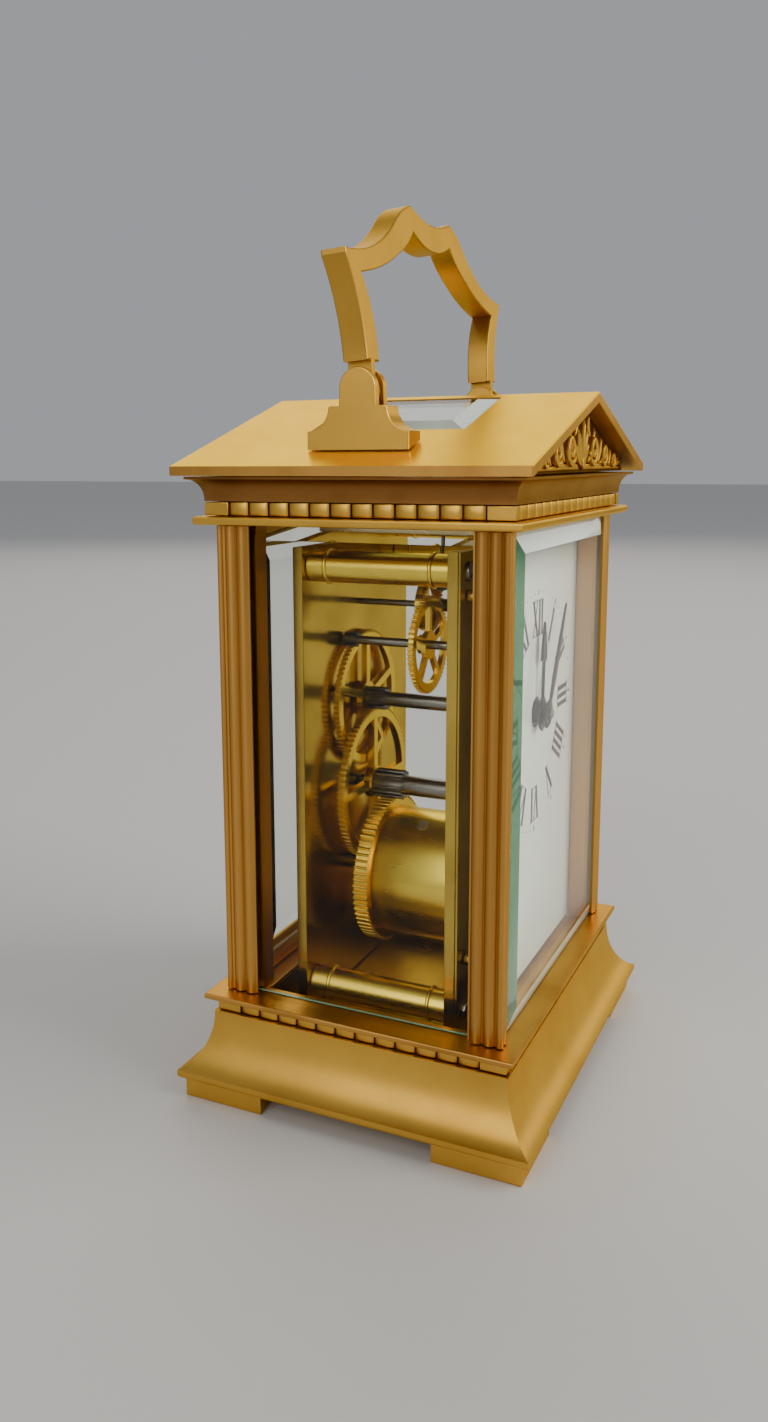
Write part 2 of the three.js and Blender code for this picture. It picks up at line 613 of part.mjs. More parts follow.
const Y_INTERMEDIATE = [13.2, 14.9];
const Y_INTERMEDIATE_PINION = [5.6, 12.9];
const Y_CENTRE_WHEEL = [15.2, 16.6];
const Y_CENTRE_PINION = [10.4, 15];
const Y_GREAT = [8, 11.4];
const Y_THIRD_WHEEL = [-4.2, -3];
const Y_THIRD_PINION = [13.6, 17];
const Y_CONTRATE_PINION = [-5, -1.2];
const Y_CONTRATE_WHEEL = [0.2, 1.2];
const Y_RATCHET = [20.1, 21.5];
const BARREL = { radius: 14.9, front: -13.9, bore: 2.3, arbor: 2 };
const RATCHET = { teeth: 18, tip: 7, root: 6.1, lean: 0.03 };

// An arbor along Y: slim pivots in the two plates, a thicker body between them.
function arbor(at, bodyRadius, pivotRadius, y0 = PLATE.frontOuter + 0.4, y1 = PLATE.backOuter - 0.4) {
  const front = PLATE.frontInner + GAP;
  const back = PLATE.backInner - GAP;
  return turnedY(at, [
    [0, y0], [pivotRadius, y0], [pivotRadius, front], [bodyRadius, front],
    [bodyRadius, back], [pivotRadius, back], [pivotRadius, y1], [0, y1],
  ], 12);
}

// An arbor with its pinion; it is stout from the front plate up to the pinion.
function pinionedArbor(at, leaves, module, phase, [y0, y1], bodyRadius, pivotRadius, stout, extent = []) {
  const pinion = place(prismY(gearShape(leaves, module, phase), y0, y1), at);
  const thick = rodY(at, stout, PLATE.frontInner + GAP, y0 + 0.2);
  return join(arbor(at, bodyRadius, pivotRadius, ...extent), thick, pinion);
}

function barrel() {
  const teeth = place(prismY(gearShape(GREAT.wheel, GREAT.module, 90), ...Y_GREAT), barrelAt);
  const drum = rodY(barrelAt, BARREL.radius, BARREL.front, Y_GREAT[0] + 0.5, 30);
  return cut(join(teeth, drum), rodY(barrelAt, BARREL.bore, -20, 20));
}

function ratchet() {
  const { teeth, tip, root, lean } = RATCHET;
  const points = [];
  for (let tooth = 0; tooth < teeth; tooth += 1) {
    const angle = tooth * 2 * Math.PI / teeth;
    points.push([tip * Math.cos(angle), tip * Math.sin(angle)]);
    points.push([root * Math.cos(angle + lean), root * Math.sin(angle + lean)]);
  }
  return place(prismY(bored(polygon(points), BARREL.bore), ...Y_RATCHET), barrelAt);
}

const CLICK_AT = [-10.6, 49.6];
const CLICK_BLADE = [[-1.9, 0.4], [-0.6, -2], [4.3, -2.6], [3.6, -0.9], [1.2, 1.4]];

function click() {
  const blade = place(prismY(polygon(CLICK_BLADE), Y_RATCHET[0], Y_RATCHET[0] + 1.2), CLICK_AT);
  return join(blade, rodY(CLICK_AT, 2, Y_RATCHET[0], Y_RATCHET[1] + 0.5, 16));
}

// The crown-toothed wheel that turns the drive through a right angle.
function contrateWheel() {
  const teeth = 48;
  const outer = 6.2;
  const inner = 5.1;
  const disc = new THREE.Shape();
  disc.absarc(0, 0, outer, 0, 2 * Math.PI, false);
  const plain = new THREE.Shape(disc.getPoints(24).slice(0, -1));
  const web = prismY(bored(crossOut(plain, 4, 1.9, 4.5, 1.1), 0.85), ...Y_CONTRATE_WHEEL);
  const ring = [];
  for (let corner = 0; corner < teeth * 2; corner += 1) {
    const angle = corner * Math.PI / teeth;
    const radius = corner % 2 === 0 ? outer : inner + 0.35;
    ring.push([radius * Math.cos(angle), radius * Math.sin(angle)]);
  }
  const webFront = Y_CONTRATE_WHEEL[0];
  const teethRing = prismY(bored(polygon(ring), inner, 16), webFront - 1.3, webFront + 0.4);
  return place(join(web, teethRing), contrateAt);
}

// Platform escapement, lying flat across the tops of the two plates.
const PLATFORM = { halfX: 17, front: -17.2, back: 19.4, bottom: 121.5, top: 123 };
const escapeAt = [contrateAt[0], Y_CONTRATE_WHEEL[0] - 3.2];
const LEVER_AT = [5.2, 1.6];
const BALANCE_AT = [9.4, 8.8];
const LEVER_OUTLINE = [
  [-3.4, -0.9], [-0.7, -0.7], [1.6, -2.6], [2.3, -2.1], [1, 0.6],
  [2.2, 3.4], [1.5, 3.8], [0.1, 1], [-0.9, 0.9], [-3.7, -0.2],
];

function platform() {
  const { halfX, front, back, bottom, top } = PLATFORM;
  const slab = box(-halfX, halfX, front, back, bottom, top);
  const holes = [rodZ(escapeAt[0], escapeAt[1], 1.9, bottom - 1, top + 1)];
  for (const [x, y] of [LEVER_AT, BALANCE_AT]) {
    holes.push(rodZ(x, y, 0.6, bottom - 1, top + 1));
  }
  return cut(slab, ...holes);
}

function escapeWheel() {
  const teeth = 15;
  const points = [];
  for (let tooth = 0; tooth < teeth; tooth += 1) {
    const angle = tooth * 2 * Math.PI / teeth;
    points.push([3.5 * Math.cos(angle), 3.5 * Math.sin(angle)]);
    points.push([2.6 * Math.cos(angle + 0.08), 2.6 * Math.sin(angle + 0.08)]);
    points.push([2.6 * Math.cos(angle + 0.3), 2.6 * Math.sin(angle + 0.3)]);
  }
  const disc = prismZ(polygon(points), 123.8, 124.3);
  const stem = rodZ(0, 0, 0.45, 109.6, 125.6, 10);
  const pinion = prismZ(gearShape(6, 0.36, 0), 110, 112.8);
  return join(disc, stem, pinion).translate(escapeAt[0], escapeAt[1], 0);
}

function lever() {
  const [x, y] = LEVER_AT;
  const arms = prismZ(polygon(LEVER_OUTLINE), 123.8, 124.2);
  return join(arms, rodZ(0, 0, 0.4, 122, 125.6, 10)).translate(x, y, 0);
}

function balanceWheel() {
  const ring = new THREE.Shape();
  ring.absarc(0, 0, 5.6, 0, 2 * Math.PI, false);
  const plain = new THREE.Shape(ring.getPoints(24).slice(0, -1));
  const rim = prismZ(crossOut(plain, 2, 1.1, 4.8, 1), 125.4, 126.3);
  return join(rim, rodZ(0, 0, 0.4, 122, 128, 10)).translate(BALANCE_AT[0], BALANCE_AT[1], 0);
}

function balanceCock() {
  const [x, y] = BALANCE_AT;
  const bridge = new THREE.Shape();
  bridge.absarc(x, y, 2.6, -Math.PI * 0.75, Math.PI * 0.25, false);
  bridge.lineTo(x - 6.6, y + 8.6);
  bridge.lineTo(x - 10.2, y + 5);
  const arm = prismZ(bridge, 127, 128, 4);
  const post = box(x - 9.6, x - 7, y + 5.2, y + 7.8, PLATFORM.top + 0.05, 127.5);
  return cut(join(arm, post), rodZ(x, y, 0.6, 120, 130));
}

function motionWork() {
  const phase = MOTION_BEARING;
  const teeth = ({ module }, count, degrees, y0, y1, at) => (
    place(prismY(gearShape(count, module, degrees), y0, y1), at)
  );
  const cannonLeaves = teeth(MOTION_MINUTE, MOTION_MINUTE.pinion, phase, -19.9, -17.9, centreAt);
  const cannonPipe = rodY(centreAt, 1.6, -27.4, -19);
  const minutePhase = pinionPhase(phase, MOTION_MINUTE.wheel);
  const minuteTeeth = teeth(MOTION_MINUTE, MOTION_MINUTE.wheel, minutePhase, -19.3, -18.1, minuteWheelAt);
  const minuteLeaves = teeth(MOTION_HOUR, MOTION_HOUR.pinion, phase + 180, -22, -19, minuteWheelAt);
  const hourPhase = phase + 180 / MOTION_HOUR.wheel;
  const hourTeeth = teeth(MOTION_HOUR, MOTION_HOUR.wheel, hourPhase, -21.8, -20.8, centreAt);
  const hourPipe = rodY(centreAt, 2.6, -26.1, -21);
  add('cannon_pinion', cut(join(cannonLeaves, cannonPipe), rodY(centreAt, 1.15, -30, -15)), steel);
  add('minute_wheel', cut(join(minuteTeeth, minuteLeaves), rodY(minuteWheelAt, 0.75, -23, -17)), wheelBrass);
  add('hour_wheel', cut(join(hourTeeth, hourPipe), rodY(centreAt, 1.95, -30, -15)), wheelBrass);
}

// A hand pointing at +Z from the dial centre, with a slender shaft, a leaf head and a drop-shaped boss.
function handShape(boss, shaft, headFrom, headHalf, headTip, pinch) {
  const shape = new THREE.Shape();
  shape.moveTo(0, -boss * 1.45);
  shape.quadraticCurveTo(boss * 1.1, -boss * 0.9, boss, 0);
  shape.quadraticCurveTo(boss * 0.8, boss * 0.9, shaft, boss * 1.3);
  shape.lineTo(shaft * pinch, headFrom);
  shape.lineTo(headHalf, headFrom + 0.4);
  shape.quadraticCurveTo(headHalf * 0.7, (headFrom + headTip) / 2 + 1.5, 0, headTip);
  const half = shape.getPoints(4);
  const left = half.slice(1, -1).reverse().map((point) => new THREE.Vector2(-point.x, point.y));
  return new THREE.Shape([...half, ...left]);
}

function hand(shape, hole, y0, y1, turnDeg) {
  const geometry = prismY(bored(shape, hole), y0, y1);
  return place(geometry.rotateY(THREE.MathUtils.degToRad(turnDeg)), centreAt);
}

function dial() {
  const { halfX, front, back, bottom, top, hole, foot: footRadius } = DIAL;
  const sheet = box(-halfX, halfX, front, back, bottom, top);
  const feet = [];
  for (const x of [-24, 24]) {
    for (const z of [34, 112]) {
      feet.push(rodY([x, z], footRadius, back - 0.5, PLATE.frontOuter - GAP));
    }
  }
  return cut(join(sheet, ...feet), rodY(centreAt, hole, front - 1, back + 1, 20));
}

// ---- Assembly -------------------------------------------------------------------------------------
function addCase() {
  add('base_moulding', baseMoulding(), gilt);
  const corners = [['front_left', -1, -1], ['front_right', 1, -1], ['rear_left', -1, 1], ['rear_right', 1, 1]];
  for (const [corner, signX, signY] of corners) {
    add(`foot_${corner}`, foot(signX, signY), gilt);
    add(`column_${corner}`, column(signX, signY), columnGilt);
  }
  const wellOpening = { halfX: FLOOR.halfX, halfY: FLOOR.halfY };
  const baseStrip = tabbedRectangle(BASE_STRIP, wellOpening);
  add('base_gadroon', prismZ(baseStrip, BASE_STRIP.bottom, BASE_STRIP.top), gilt);
  const doorY = (DOOR.inner + DOOR.outer) / 2;
  const pinHole = (z0, z1) => rodZ(DOOR_PIN.x, doorY, DOOR_PIN.hole, z0 - 1, z1 + 1);
  const plinth = prismZ(rectangle(PLINTH.halfX, PLINTH.halfY, wellOpening), PLINTH.bottom, PLINTH.top);
  add('plinth_plate', cut(plinth, pinHole(PLINTH.bottom, PLINTH.top)), gilt);
  const { halfX, halfY, bottom, top } = ARCHITRAVE;
  const architrave = prismZ(rectangle(halfX, halfY, TOP_OPENING), bottom, top);
  add('architrave', cut(architrave, pinHole(bottom, top)), gilt);
  add('frieze_gadroon', prismZ(tabbedRectangle(FRIEZE, TOP_OPENING), FRIEZE.bottom, FRIEZE.top), gilt);
  add('crown_cavetto', crown(), gilt);
  add('roof', roof(), roofGilt);
  add('gable_front', gable(-1), gilt);
  add('gable_rear', gable(1), gilt);
}

function addHandle() {
  const swing = new THREE.Group();
  swing.position.set(0, 0, PIVOT.z);
  swing.rotation.x = -THREE.MathUtils.degToRad(HANDLE.leanDeg);
  group.add(swing);
  add('handle', handle(), gilt, swing);
  for (const [name, side] of [['left', -1], ['right', 1]]) {
    add(`handle_block_${name}`, handleBlock(side), gilt);
    add(`handle_pin_${name}`, handlePin(side), gilt);
    add(`roof_glass_${name}`, roofPane(side), glass);
    add(`side_glass_${name}`, sideGlass(side), glass);
  }
}

function addFrontAndDoor() {
  add('front_glass', frontGlass(), glass);
  add('door_frame', doorFrame(), gilt);
  add('door_glass', doorGlass(), glass);
  add('door_knob', doorKnob(), gilt);
  add('dial', dial(), enamel);
  add('hour_hand', hand(handShape(2.9, 0.42, 11.4, 1.7, 20.4, 0.9), 2.7, -25.9, -25.3, 1.5), blued);
  add('minute_hand', hand(handShape(2.4, 0.42, 7, 0.95, 26.5, 1.6), 1.7, -27.3, -26.7, 28.5), blued);
}

function addFrameOfMovement() {
  const shared = [[intermediateAt, 0.95], [thirdAt, 0.8], [contrateAt, 0.8], [barrelAt, BARREL.bore]];
  const { frontOuter, frontInner, backInner, backOuter } = PLATE;
  add('front_plate', plate(frontOuter, frontInner, [...shared, [centreAt, 1.4]]), polishedBrass);
  add('back_plate', plate(backInner, backOuter, [...shared, [centreAt, 1.2]]), polishedBrass);
  for (const [name, x, z] of [
    ['top_left', -1, PILLAR.topZ], ['top_right', 1, PILLAR.topZ],
    ['bottom_left', -1, PILLAR.bottomZ], ['bottom_right', 1, PILLAR.bottomZ],
  ]) {
    add(`pillar_${name}`, pillar(x * PILLAR.x, z), polishedBrass);
  }
}

function addTrain() {
  add('barrel', barrel(), wheelBrass);
  const square = rodY(barrelAt, 1.9, 21, 25.6, 4);
  add('barrel_arbor', join(rodY(barrelAt, BARREL.arbor, PLATE.frontOuter + 0.4, 22), square), steel);
  add('ratchet_wheel', ratchet(), steel);
  add('click', click(), steel);
  add('intermediate_wheel', wheel(INTERMEDIATE, intermediateAt, 90, ...Y_INTERMEDIATE, 4, 1.6), wheelBrass);
  add('intermediate_arbor', pinionedArbor(
    intermediateAt, GREAT.pinion, GREAT.module, pinionPhase(90, GREAT.pinion), Y_INTERMEDIATE_PINION,
    1.5, 0.8, 2.35,
  ), steel);
  add('centre_wheel', wheel(CENTRE, centreAt, THIRD_BEARING, ...Y_CENTRE_WHEEL, 5, 1.6), wheelBrass);
  add('centre_arbor', pinionedArbor(
    centreAt, INTERMEDIATE.pinion, INTERMEDIATE.module, pinionPhase(90, INTERMEDIATE.pinion), Y_CENTRE_PINION,
    1.5, 1, 1.75, [-28, 24.6],
  ), steel);
  add('third_wheel', wheel(THIRD, thirdAt, CONTRATE_BEARING, ...Y_THIRD_WHEEL, 5, 1.05), wheelBrass);
  add('third_arbor', pinionedArbor(
    thirdAt, CENTRE.pinion, CENTRE.module, pinionPhase(THIRD_BEARING, CENTRE.pinion), Y_THIRD_PINION,
    0.95, 0.6, 1,
  ), steel);
  add('contrate_wheel', contrateWheel(), wheelBrass);
  add('contrate_arbor', pinionedArbor(
    contrateAt, THIRD.pinion, THIRD.module, pinionPhase(CONTRATE_BEARING, THIRD.pinion), Y_CONTRATE_PINION,
    0.75, 0.6, 0.8,
  ), steel);
  motionWork();
}

function addPlatform() {
  add('platform', platform(), silvered);
  add('escape_wheel', escapeWheel(), steel);
  add('lever', lever(), steel);
  add('balance_wheel', balanceWheel(), wheelBrass);
  add('balance_cock', balanceCock(), silvered);
}

addCase();
addHandle();
addFrontAndDoor();
addFrameOfMovement();
addTrain();
addPlatform();

export default group;
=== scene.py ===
"""Gilt-brass carriage clock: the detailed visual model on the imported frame, with floor, light and camera.

Lengths are in metres. MM turns millimetres into metres. +Z is up and the dial faces -Y.
"""
import json
import math

import bmesh
import bpy
from mathutils import Matrix, Vector


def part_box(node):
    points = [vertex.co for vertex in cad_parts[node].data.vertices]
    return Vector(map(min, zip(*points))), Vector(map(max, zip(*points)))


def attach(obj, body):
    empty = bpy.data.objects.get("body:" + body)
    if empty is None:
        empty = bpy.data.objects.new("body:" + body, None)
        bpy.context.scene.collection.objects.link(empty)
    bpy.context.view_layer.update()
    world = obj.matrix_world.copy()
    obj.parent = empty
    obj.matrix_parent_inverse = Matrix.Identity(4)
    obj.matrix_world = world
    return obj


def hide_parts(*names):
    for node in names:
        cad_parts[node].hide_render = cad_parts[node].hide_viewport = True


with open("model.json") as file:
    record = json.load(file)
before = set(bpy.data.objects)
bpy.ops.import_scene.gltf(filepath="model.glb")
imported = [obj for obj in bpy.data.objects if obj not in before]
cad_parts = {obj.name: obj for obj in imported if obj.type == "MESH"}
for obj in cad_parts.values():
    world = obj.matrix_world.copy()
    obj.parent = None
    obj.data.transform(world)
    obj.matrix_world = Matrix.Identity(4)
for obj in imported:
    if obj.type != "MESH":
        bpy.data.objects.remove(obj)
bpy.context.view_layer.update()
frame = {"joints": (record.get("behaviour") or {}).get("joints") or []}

MM = 0.001
joint_at = {j["name"]: Vector(j["pos_m"]) for j in frame["joints"] if "pos_m" in j}


# ---- Materials ---------------------------------------------------------------------------------------
GOLDEN_GRAZE = (1, 0.84, 0.46, 1)
PLAIN_GRAZE = (1, 1, 1, 1)


def new_material(name, base, roughness, metallic, **sockets):
    """A Principled material whose even values sit on the shader's own sockets."""
    material = bpy.data.materials.new(name)
    material.use_nodes = True
    shader = material.node_tree.nodes["Principled BSDF"]
    shader.inputs["Base Color"].default_value = (*base, 1)
    shader.inputs["Roughness"].default_value = roughness
    shader.inputs["Metallic"].default_value = metallic
    for socket, value in sockets.items():
        shader.inputs[socket.replace("_", " ")].default_value = value
    return material, material.node_tree, shader


def noise(tree, scale, detail, stretch=(1, 1, 1)):
    """Noise in the object's own space, stretched along an axis where the metal was brushed."""
    coords = tree.nodes.new("ShaderNodeTexCoord")
    mapping = tree.nodes.new("ShaderNodeMapping")
    mapping.inputs["Scale"].default_value = stretch
    texture = tree.nodes.new("ShaderNodeTexNoise")
    texture.inputs["Scale"].default_value = scale
    texture.inputs["Detail"].default_value = detail
    tree.links.new(coords.outputs["Object"], mapping.inputs["Vector"])
    tree.links.new(mapping.outputs["Vector"], texture.inputs["Vector"])
    return texture.outputs["Fac"]


def ramp(tree, factor, stops):
    """A colour ramp through stops of (position, colour)."""
    node = tree.nodes.new("ShaderNodeValToRGB")
    elements = node.color_ramp.elements
    elements[0].position, elements[0].color = stops[0][0], (*stops[0][1], 1)
    elements[1].position, elements[1].color = stops[-1][0], (*stops[-1][1], 1)
    for position, colour in stops[1:-1]:
        elements.new(position).color = (*colour, 1)
    tree.links.new(factor, node.inputs["Fac"])
    return node.outputs["Color"]


def value_range(tree, factor, low, high):
    """Stretches a factor from 0 to 1 over low to high."""
    node = tree.nodes.new("ShaderNodeMapRange")
    node.inputs["To Min"].default_value = low
    node.inputs["To Max"].default_value = high
    tree.links.new(factor, node.inputs["Value"])
    return node.outputs["Result"]


def tone_by(tree, shader, factor, stops):
    """Lets a factor choose the base colour from a ramp."""
    tree.links.new(ramp(tree, factor, stops), shader.inputs["Base Color"])


def uneven_sheen(tree, shader, scale, low, high, stretch=(1, 1, 1)):
    """Lets the roughness wander between two values."""
    wander = value_range(tree, noise(tree, scale, 3, stretch), low, high)
    tree.links.new(wander, shader.inputs["Roughness"])


def bump(tree, shader, height, strength, distance):
    """Raises the surface by a texture; the distance is in metres."""
    node = tree.nodes.new("ShaderNodeBump")
    node.inputs["Strength"].default_value = strength
    node.inputs["Distance"].default_value = distance
    tree.links.new(height, node.inputs["Height"])
    tree.links.new(node.outputs["Normal"], shader.inputs["Normal"])


def gilding(name, light, dark, roughness, grain=0.25, stretch=(1, 1, 1)):
    """Satin gilding: a soft mottle of tone, uneven sheen and a fine matt grain."""
    material, tree, shader = new_material(name, light, roughness, 1, Specular_Tint=GOLDEN_GRAZE)
    bright = [min(1, channel * 1.08) for channel in light]
    tone_by(tree, shader, noise(tree, 60, 3, stretch), [(0.3, dark), (0.5, light), (0.75, bright)])
    uneven_sheen(tree, shader, 160, roughness - 0.05, roughness + 0.09)
    bump(tree, shader, noise(tree, 5200, 2, stretch), grain, 0.00004)
    return material


def polished(name, base, dark, roughness, stretch=(1, 1, 1), graze=GOLDEN_GRAZE):
    """Polished metal with faint tarnish clouds and directional polishing marks."""
    material, tree, shader = new_material(name, base, roughness, 1, Specular_Tint=graze)
    tone_by(tree, shader, noise(tree, 60, 4), [(0.25, dark), (0.6, base)])
    uneven_sheen(tree, shader, 210, roughness * 0.7, roughness * 1.6, stretch)
    bump(tree, shader, noise(tree, 2600, 2, stretch), 0.08, 0.00002)
    return material


def clear_glass(name, tint):
    """Plate glass that lets the lamps light what is behind it and mirrors little of the pale room."""
    material, tree, shader = new_material(name, tint, 0, 0, IOR=1.2, Transmission_Weight=1.0)
    output = tree.nodes["Material Output"]
    path = tree.nodes.new("ShaderNodeLightPath")
    through = tree.nodes.new("ShaderNodeBsdfTransparent")
    mix = tree.nodes.new("ShaderNodeMixShader")
    through.inputs["Color"].default_value = (0.9, 0.95, 0.92, 1)
    tree.links.new(path.outputs["Is Shadow Ray"], mix.inputs["Fac"])
    tree.links.new(shader.outputs["BSDF"], mix.inputs[1])
    tree.links.new(through.outputs["BSDF"], mix.inputs[2])
    tree.links.new(mix.outputs["Shader"], output.inputs["Surface"])
    return material


def bevel_glass(name, tint, clear, clear_share):
    """A wide ground bevel, tinted at the slant where the view runs down inside the plate.

    The Facing weight is 0 for a bevel seen straight on and 1 for one seen along its surface.
    """
    material, tree, shader = new_material(name, tint, 0.06, 0, IOR=1.5, Transmission_Weight=clear_share)
    weight = tree.nodes.new("ShaderNodeLayerWeight")
    bands = [(0.18, clear), (0.29, tint), (0.48, tint), (0.62, clear)]
    tone_by(tree, shader, weight.outputs["Facing"], bands)
    bump(tree, shader, noise(tree, 300, 2), 0.04, 0.00002)
    return material


def shaded_green_edge():
    """The ground edge of plate glass: green, with painted light and shade that make it paler towards the foot
    of the case and darker towards the top.
    """
    foot, head = 0.02, 0.13
    material, tree, shader = new_material("glass_edge", (0.2, 0.4, 0.3), 0.2, 0)
    coords = tree.nodes.new("ShaderNodeTexCoord")
    split = tree.nodes.new("ShaderNodeSeparateXYZ")
    height = tree.nodes.new("ShaderNodeMapRange")
    height.inputs["From Min"].default_value = foot
    height.inputs["From Max"].default_value = head
    tree.links.new(coords.outputs["Object"], split.inputs["Vector"])
    tree.links.new(split.outputs["Z"], height.inputs["Value"])
    # Painted light and shade: the green lightens towards the foot and darkens towards the top.
    stops = [(0.0, (0.26, 0.50, 0.33)), (0.55, (0.11, 0.34, 0.21)), (1.0, (0.03, 0.16, 0.09))]
    tone_by(tree, shader, height.outputs["Result"], stops)
    bump(tree, shader, noise(tree, 900, 2), 0.1, 0.00002)
    return material


def enamel_white():
    """Fired white enamel with a faint cloud and a glassy skin."""
    shade, light = (0.91, 0.90, 0.82), (0.95, 0.94, 0.88)
    middle = (0.93, 0.92, 0.85)
    material, tree, shader = new_material("enamel", middle, 0.12, 0, Coat_Weight=0.5, Coat_Roughness=0.04)
    tone_by(tree, shader, noise(tree, 40, 3), [(0.3, shade), (0.7, light)])
    bump(tree, shader, noise(tree, 260, 2), 0.06, 0.00003)
    return material


def plain_dark(name, base, roughness, metallic):
    """A dark finish of one tone."""
    material, tree, shader = new_material(name, base, roughness, metallic)
    uneven_sheen(tree, shader, 700, roughness - 0.06, roughness + 0.08)
    bump(tree, shader, noise(tree, 3000, 2), 0.1, 0.00002)
    return material


GILT = gilding("gilt", (0.67, 0.385, 0.062), (0.61, 0.335, 0.050), 0.34)
# Painted light: a brighter copy of the gilt for the roof's upper faces, as if lit from above; its sides and
# underside get the darker shaded copy.
ROOF_LIT_GILT = gilding("roof_gilt", (0.95, 0.60, 0.030), (0.90, 0.545, 0.024), 0.3, grain=0.15)
# Painted shade: a darker copy of the gilt for the handle's bow and tongues.
HANDLE_SHADE_GILT = gilding("handle_shade_gilt", (0.52, 0.29, 0.046), (0.45, 0.24, 0.036), 0.34)
# Painted shade: a dark copy of the gilt for the crown moulding under the eaves.
CROWN_SHADE_GILT = gilding("crown_shade_gilt", (0.28, 0.125, 0.032), (0.20, 0.085, 0.020), 0.4)
# Painted shade: a darker copy of the gilt for the columns, the plinth and the roof's sides and underside; its
# stretched grain is the brushing of the metal.
SHADED_GILT = gilding("column_gilt", (0.56, 0.29, 0.066), (0.44, 0.21, 0.045), 0.36, stretch=(1, 1, 0.15))
# Painted shade: a dark copy of the gilt for recessed surfaces, the core between the gadroon beads and the
# panel behind the gable relief.
RECESS_SHADE_GILT = gilding("recess_shade_gilt", (0.15, 0.065, 0.014), (0.07, 0.028, 0.008), 0.5)
# Painted shade: a darker copy of the gilt for the floor and walls of the well inside the case.
WELL_SHADE_GILT = gilding("well_painted_shade_gilt", (0.30, 0.165, 0.020), (0.12, 0.055, 0.008), 0.3)
PLATE_BRASS = polished("plate_brass", (0.58, 0.385, 0.062), (0.40, 0.245, 0.036), 0.16, stretch=(1, 1, 0.2))
DRUM_BRASS = polished("drum_brass", (0.90, 0.64, 0.085), (0.80, 0.53, 0.06), 0.24, stretch=(1, 0.2, 1))
WHEEL_BRASS = polished("wheel_brass", (0.82, 0.55, 0.065), (0.64, 0.39, 0.040), 0.2)
STEEL = polished("steel", (0.27, 0.25, 0.22), (0.15, 0.14, 0.12), 0.2, stretch=(1, 0.1, 1), graze=PLAIN_GRAZE)
BLUED = plain_dark("blued", (0.02, 0.018, 0.022), 0.32, 0.6)
SILVERED = polished("silvered", (0.72, 0.62, 0.36), (0.6, 0.5, 0.26), 0.25)
ENAMEL = enamel_white()
NUMERAL_BLACK = plain_dark("numeral_black", (0.012, 0.011, 0.013), 0.3, 0)
GLASS = clear_glass("glass", (0.965, 0.99, 0.975))
GREEN_BEVEL = bevel_glass("green_bevel", (0.045, 0.17, 0.075), (0.80, 0.92, 0.85), 0.4)
PALE_BEVEL = bevel_glass("pale_bevel", (0.66, 0.78, 0.68), (0.72, 0.84, 0.75), 0.3)
EDGE_GLASS = shaded_green_edge()
# Painted shade: the dark inside the floor holes.
HOLE_SHADE = plain_dark("hole", (0.02, 0.012, 0.006), 0.6, 0.2)


def link(obj):
    """Puts an object in the scene."""
    bpy.context.scene.collection.objects.link(obj)


# ---- Mesh building -----------------------------------------------------------------------------------
def finish_mesh(name, mesh, material, smooth_deg=20):
    """Makes the object, shades it smooth up to an angle and gives it its material."""
    obj = bpy.data.objects.new(name, mesh)
    link(obj)
    mesh.materials.clear()
    mesh.materials.append(material)
    mesh.shade_smooth()
    mesh.set_sharp_from_angle(angle=math.radians(smooth_deg))
    return obj


def from_bmesh(name, bm, material, smooth_deg):
    """Turns a bmesh into a finished object with its faces pointing out."""
    bmesh.ops.recalc_face_normals(bm, faces=bm.faces)
    mesh = bpy.data.meshes.new(name)
    bm.to_mesh(mesh)
    bm.free()
    return finish_mesh(name, mesh, material, smooth_deg)


def apply_modifiers(obj):
    """Replaces the mesh by what its modifiers make of it."""
    depsgraph = bpy.context.evaluated_depsgraph_get()
    made = bpy.data.meshes.new_from_object(obj.evaluated_get(depsgraph))
    obj.modifiers.clear()
    obj.data = made


def crease(obj, angle_deg):
    """Keeps the edges sharper than an angle crisp under smooth shading."""
    obj.data.set_sharp_from_angle(angle=math.radians(angle_deg))


def soften(obj, width):
    """Rounds every edge sharper than 28 degrees."""
    modifier = obj.modifiers.new("soften", "BEVEL")
    modifier.width = width
    modifier.segments = 2
    modifier.limit_method = "ANGLE"
    modifier.angle_limit = math.radians(28)
    apply_modifiers(obj)
    obj.data.shade_smooth()
    crease(obj, 20)


def carve(obj, *tools):
    """Subtracts the tools from the object and removes them."""
    for tool in tools:
        modifier = obj.modifiers.new("carve", "BOOLEAN")
        modifier.operation = "DIFFERENCE"
        modifier.solver = "EXACT"
        modifier.object = tool
    apply_modifiers(obj)
    for tool in tools:
        bpy.data.objects.remove(tool)


def merged(name, parts):
    """Joins several made objects into the first one, keeping their materials."""
    bm = bmesh.new()
    materials = []
    for part in parts:
        start = len(bm.faces)
        bm.from_mesh(part.data)
        bm.faces.ensure_lookup_table()
        for material in part.data.materials:
            if material not in materials:
                materials.append(material)
        for face in bm.faces[start:]:
            face.material_index = materials.index(part.data.materials[face.material_index])
    mesh = bpy.data.meshes.new(name)
    bm.to_mesh(mesh)
    bm.free()
    for part in parts:
        bpy.data.objects.remove(part)
    obj = bpy.data.objects.new(name, mesh)
    link(obj)
    for material in materials:
        mesh.materials.append(material)
    return obj


# The plane a loop is drawn in: the direction of its heights, and the turn that stands it up.
PLANES = {
    "XY": (Vector((0, 0, 1)), Matrix.Identity(4)),
    "XZ": (Vector((0, 1, 0)), Matrix.Rotation(math.radians(90), 4, "X")),
    "YZ": (Vector((1, 0, 0)), Matrix(((0, 0, 1, 0), (1, 0, 0, 0), (0, 1, 0, 0), (0, 0, 0, 1)))),
}


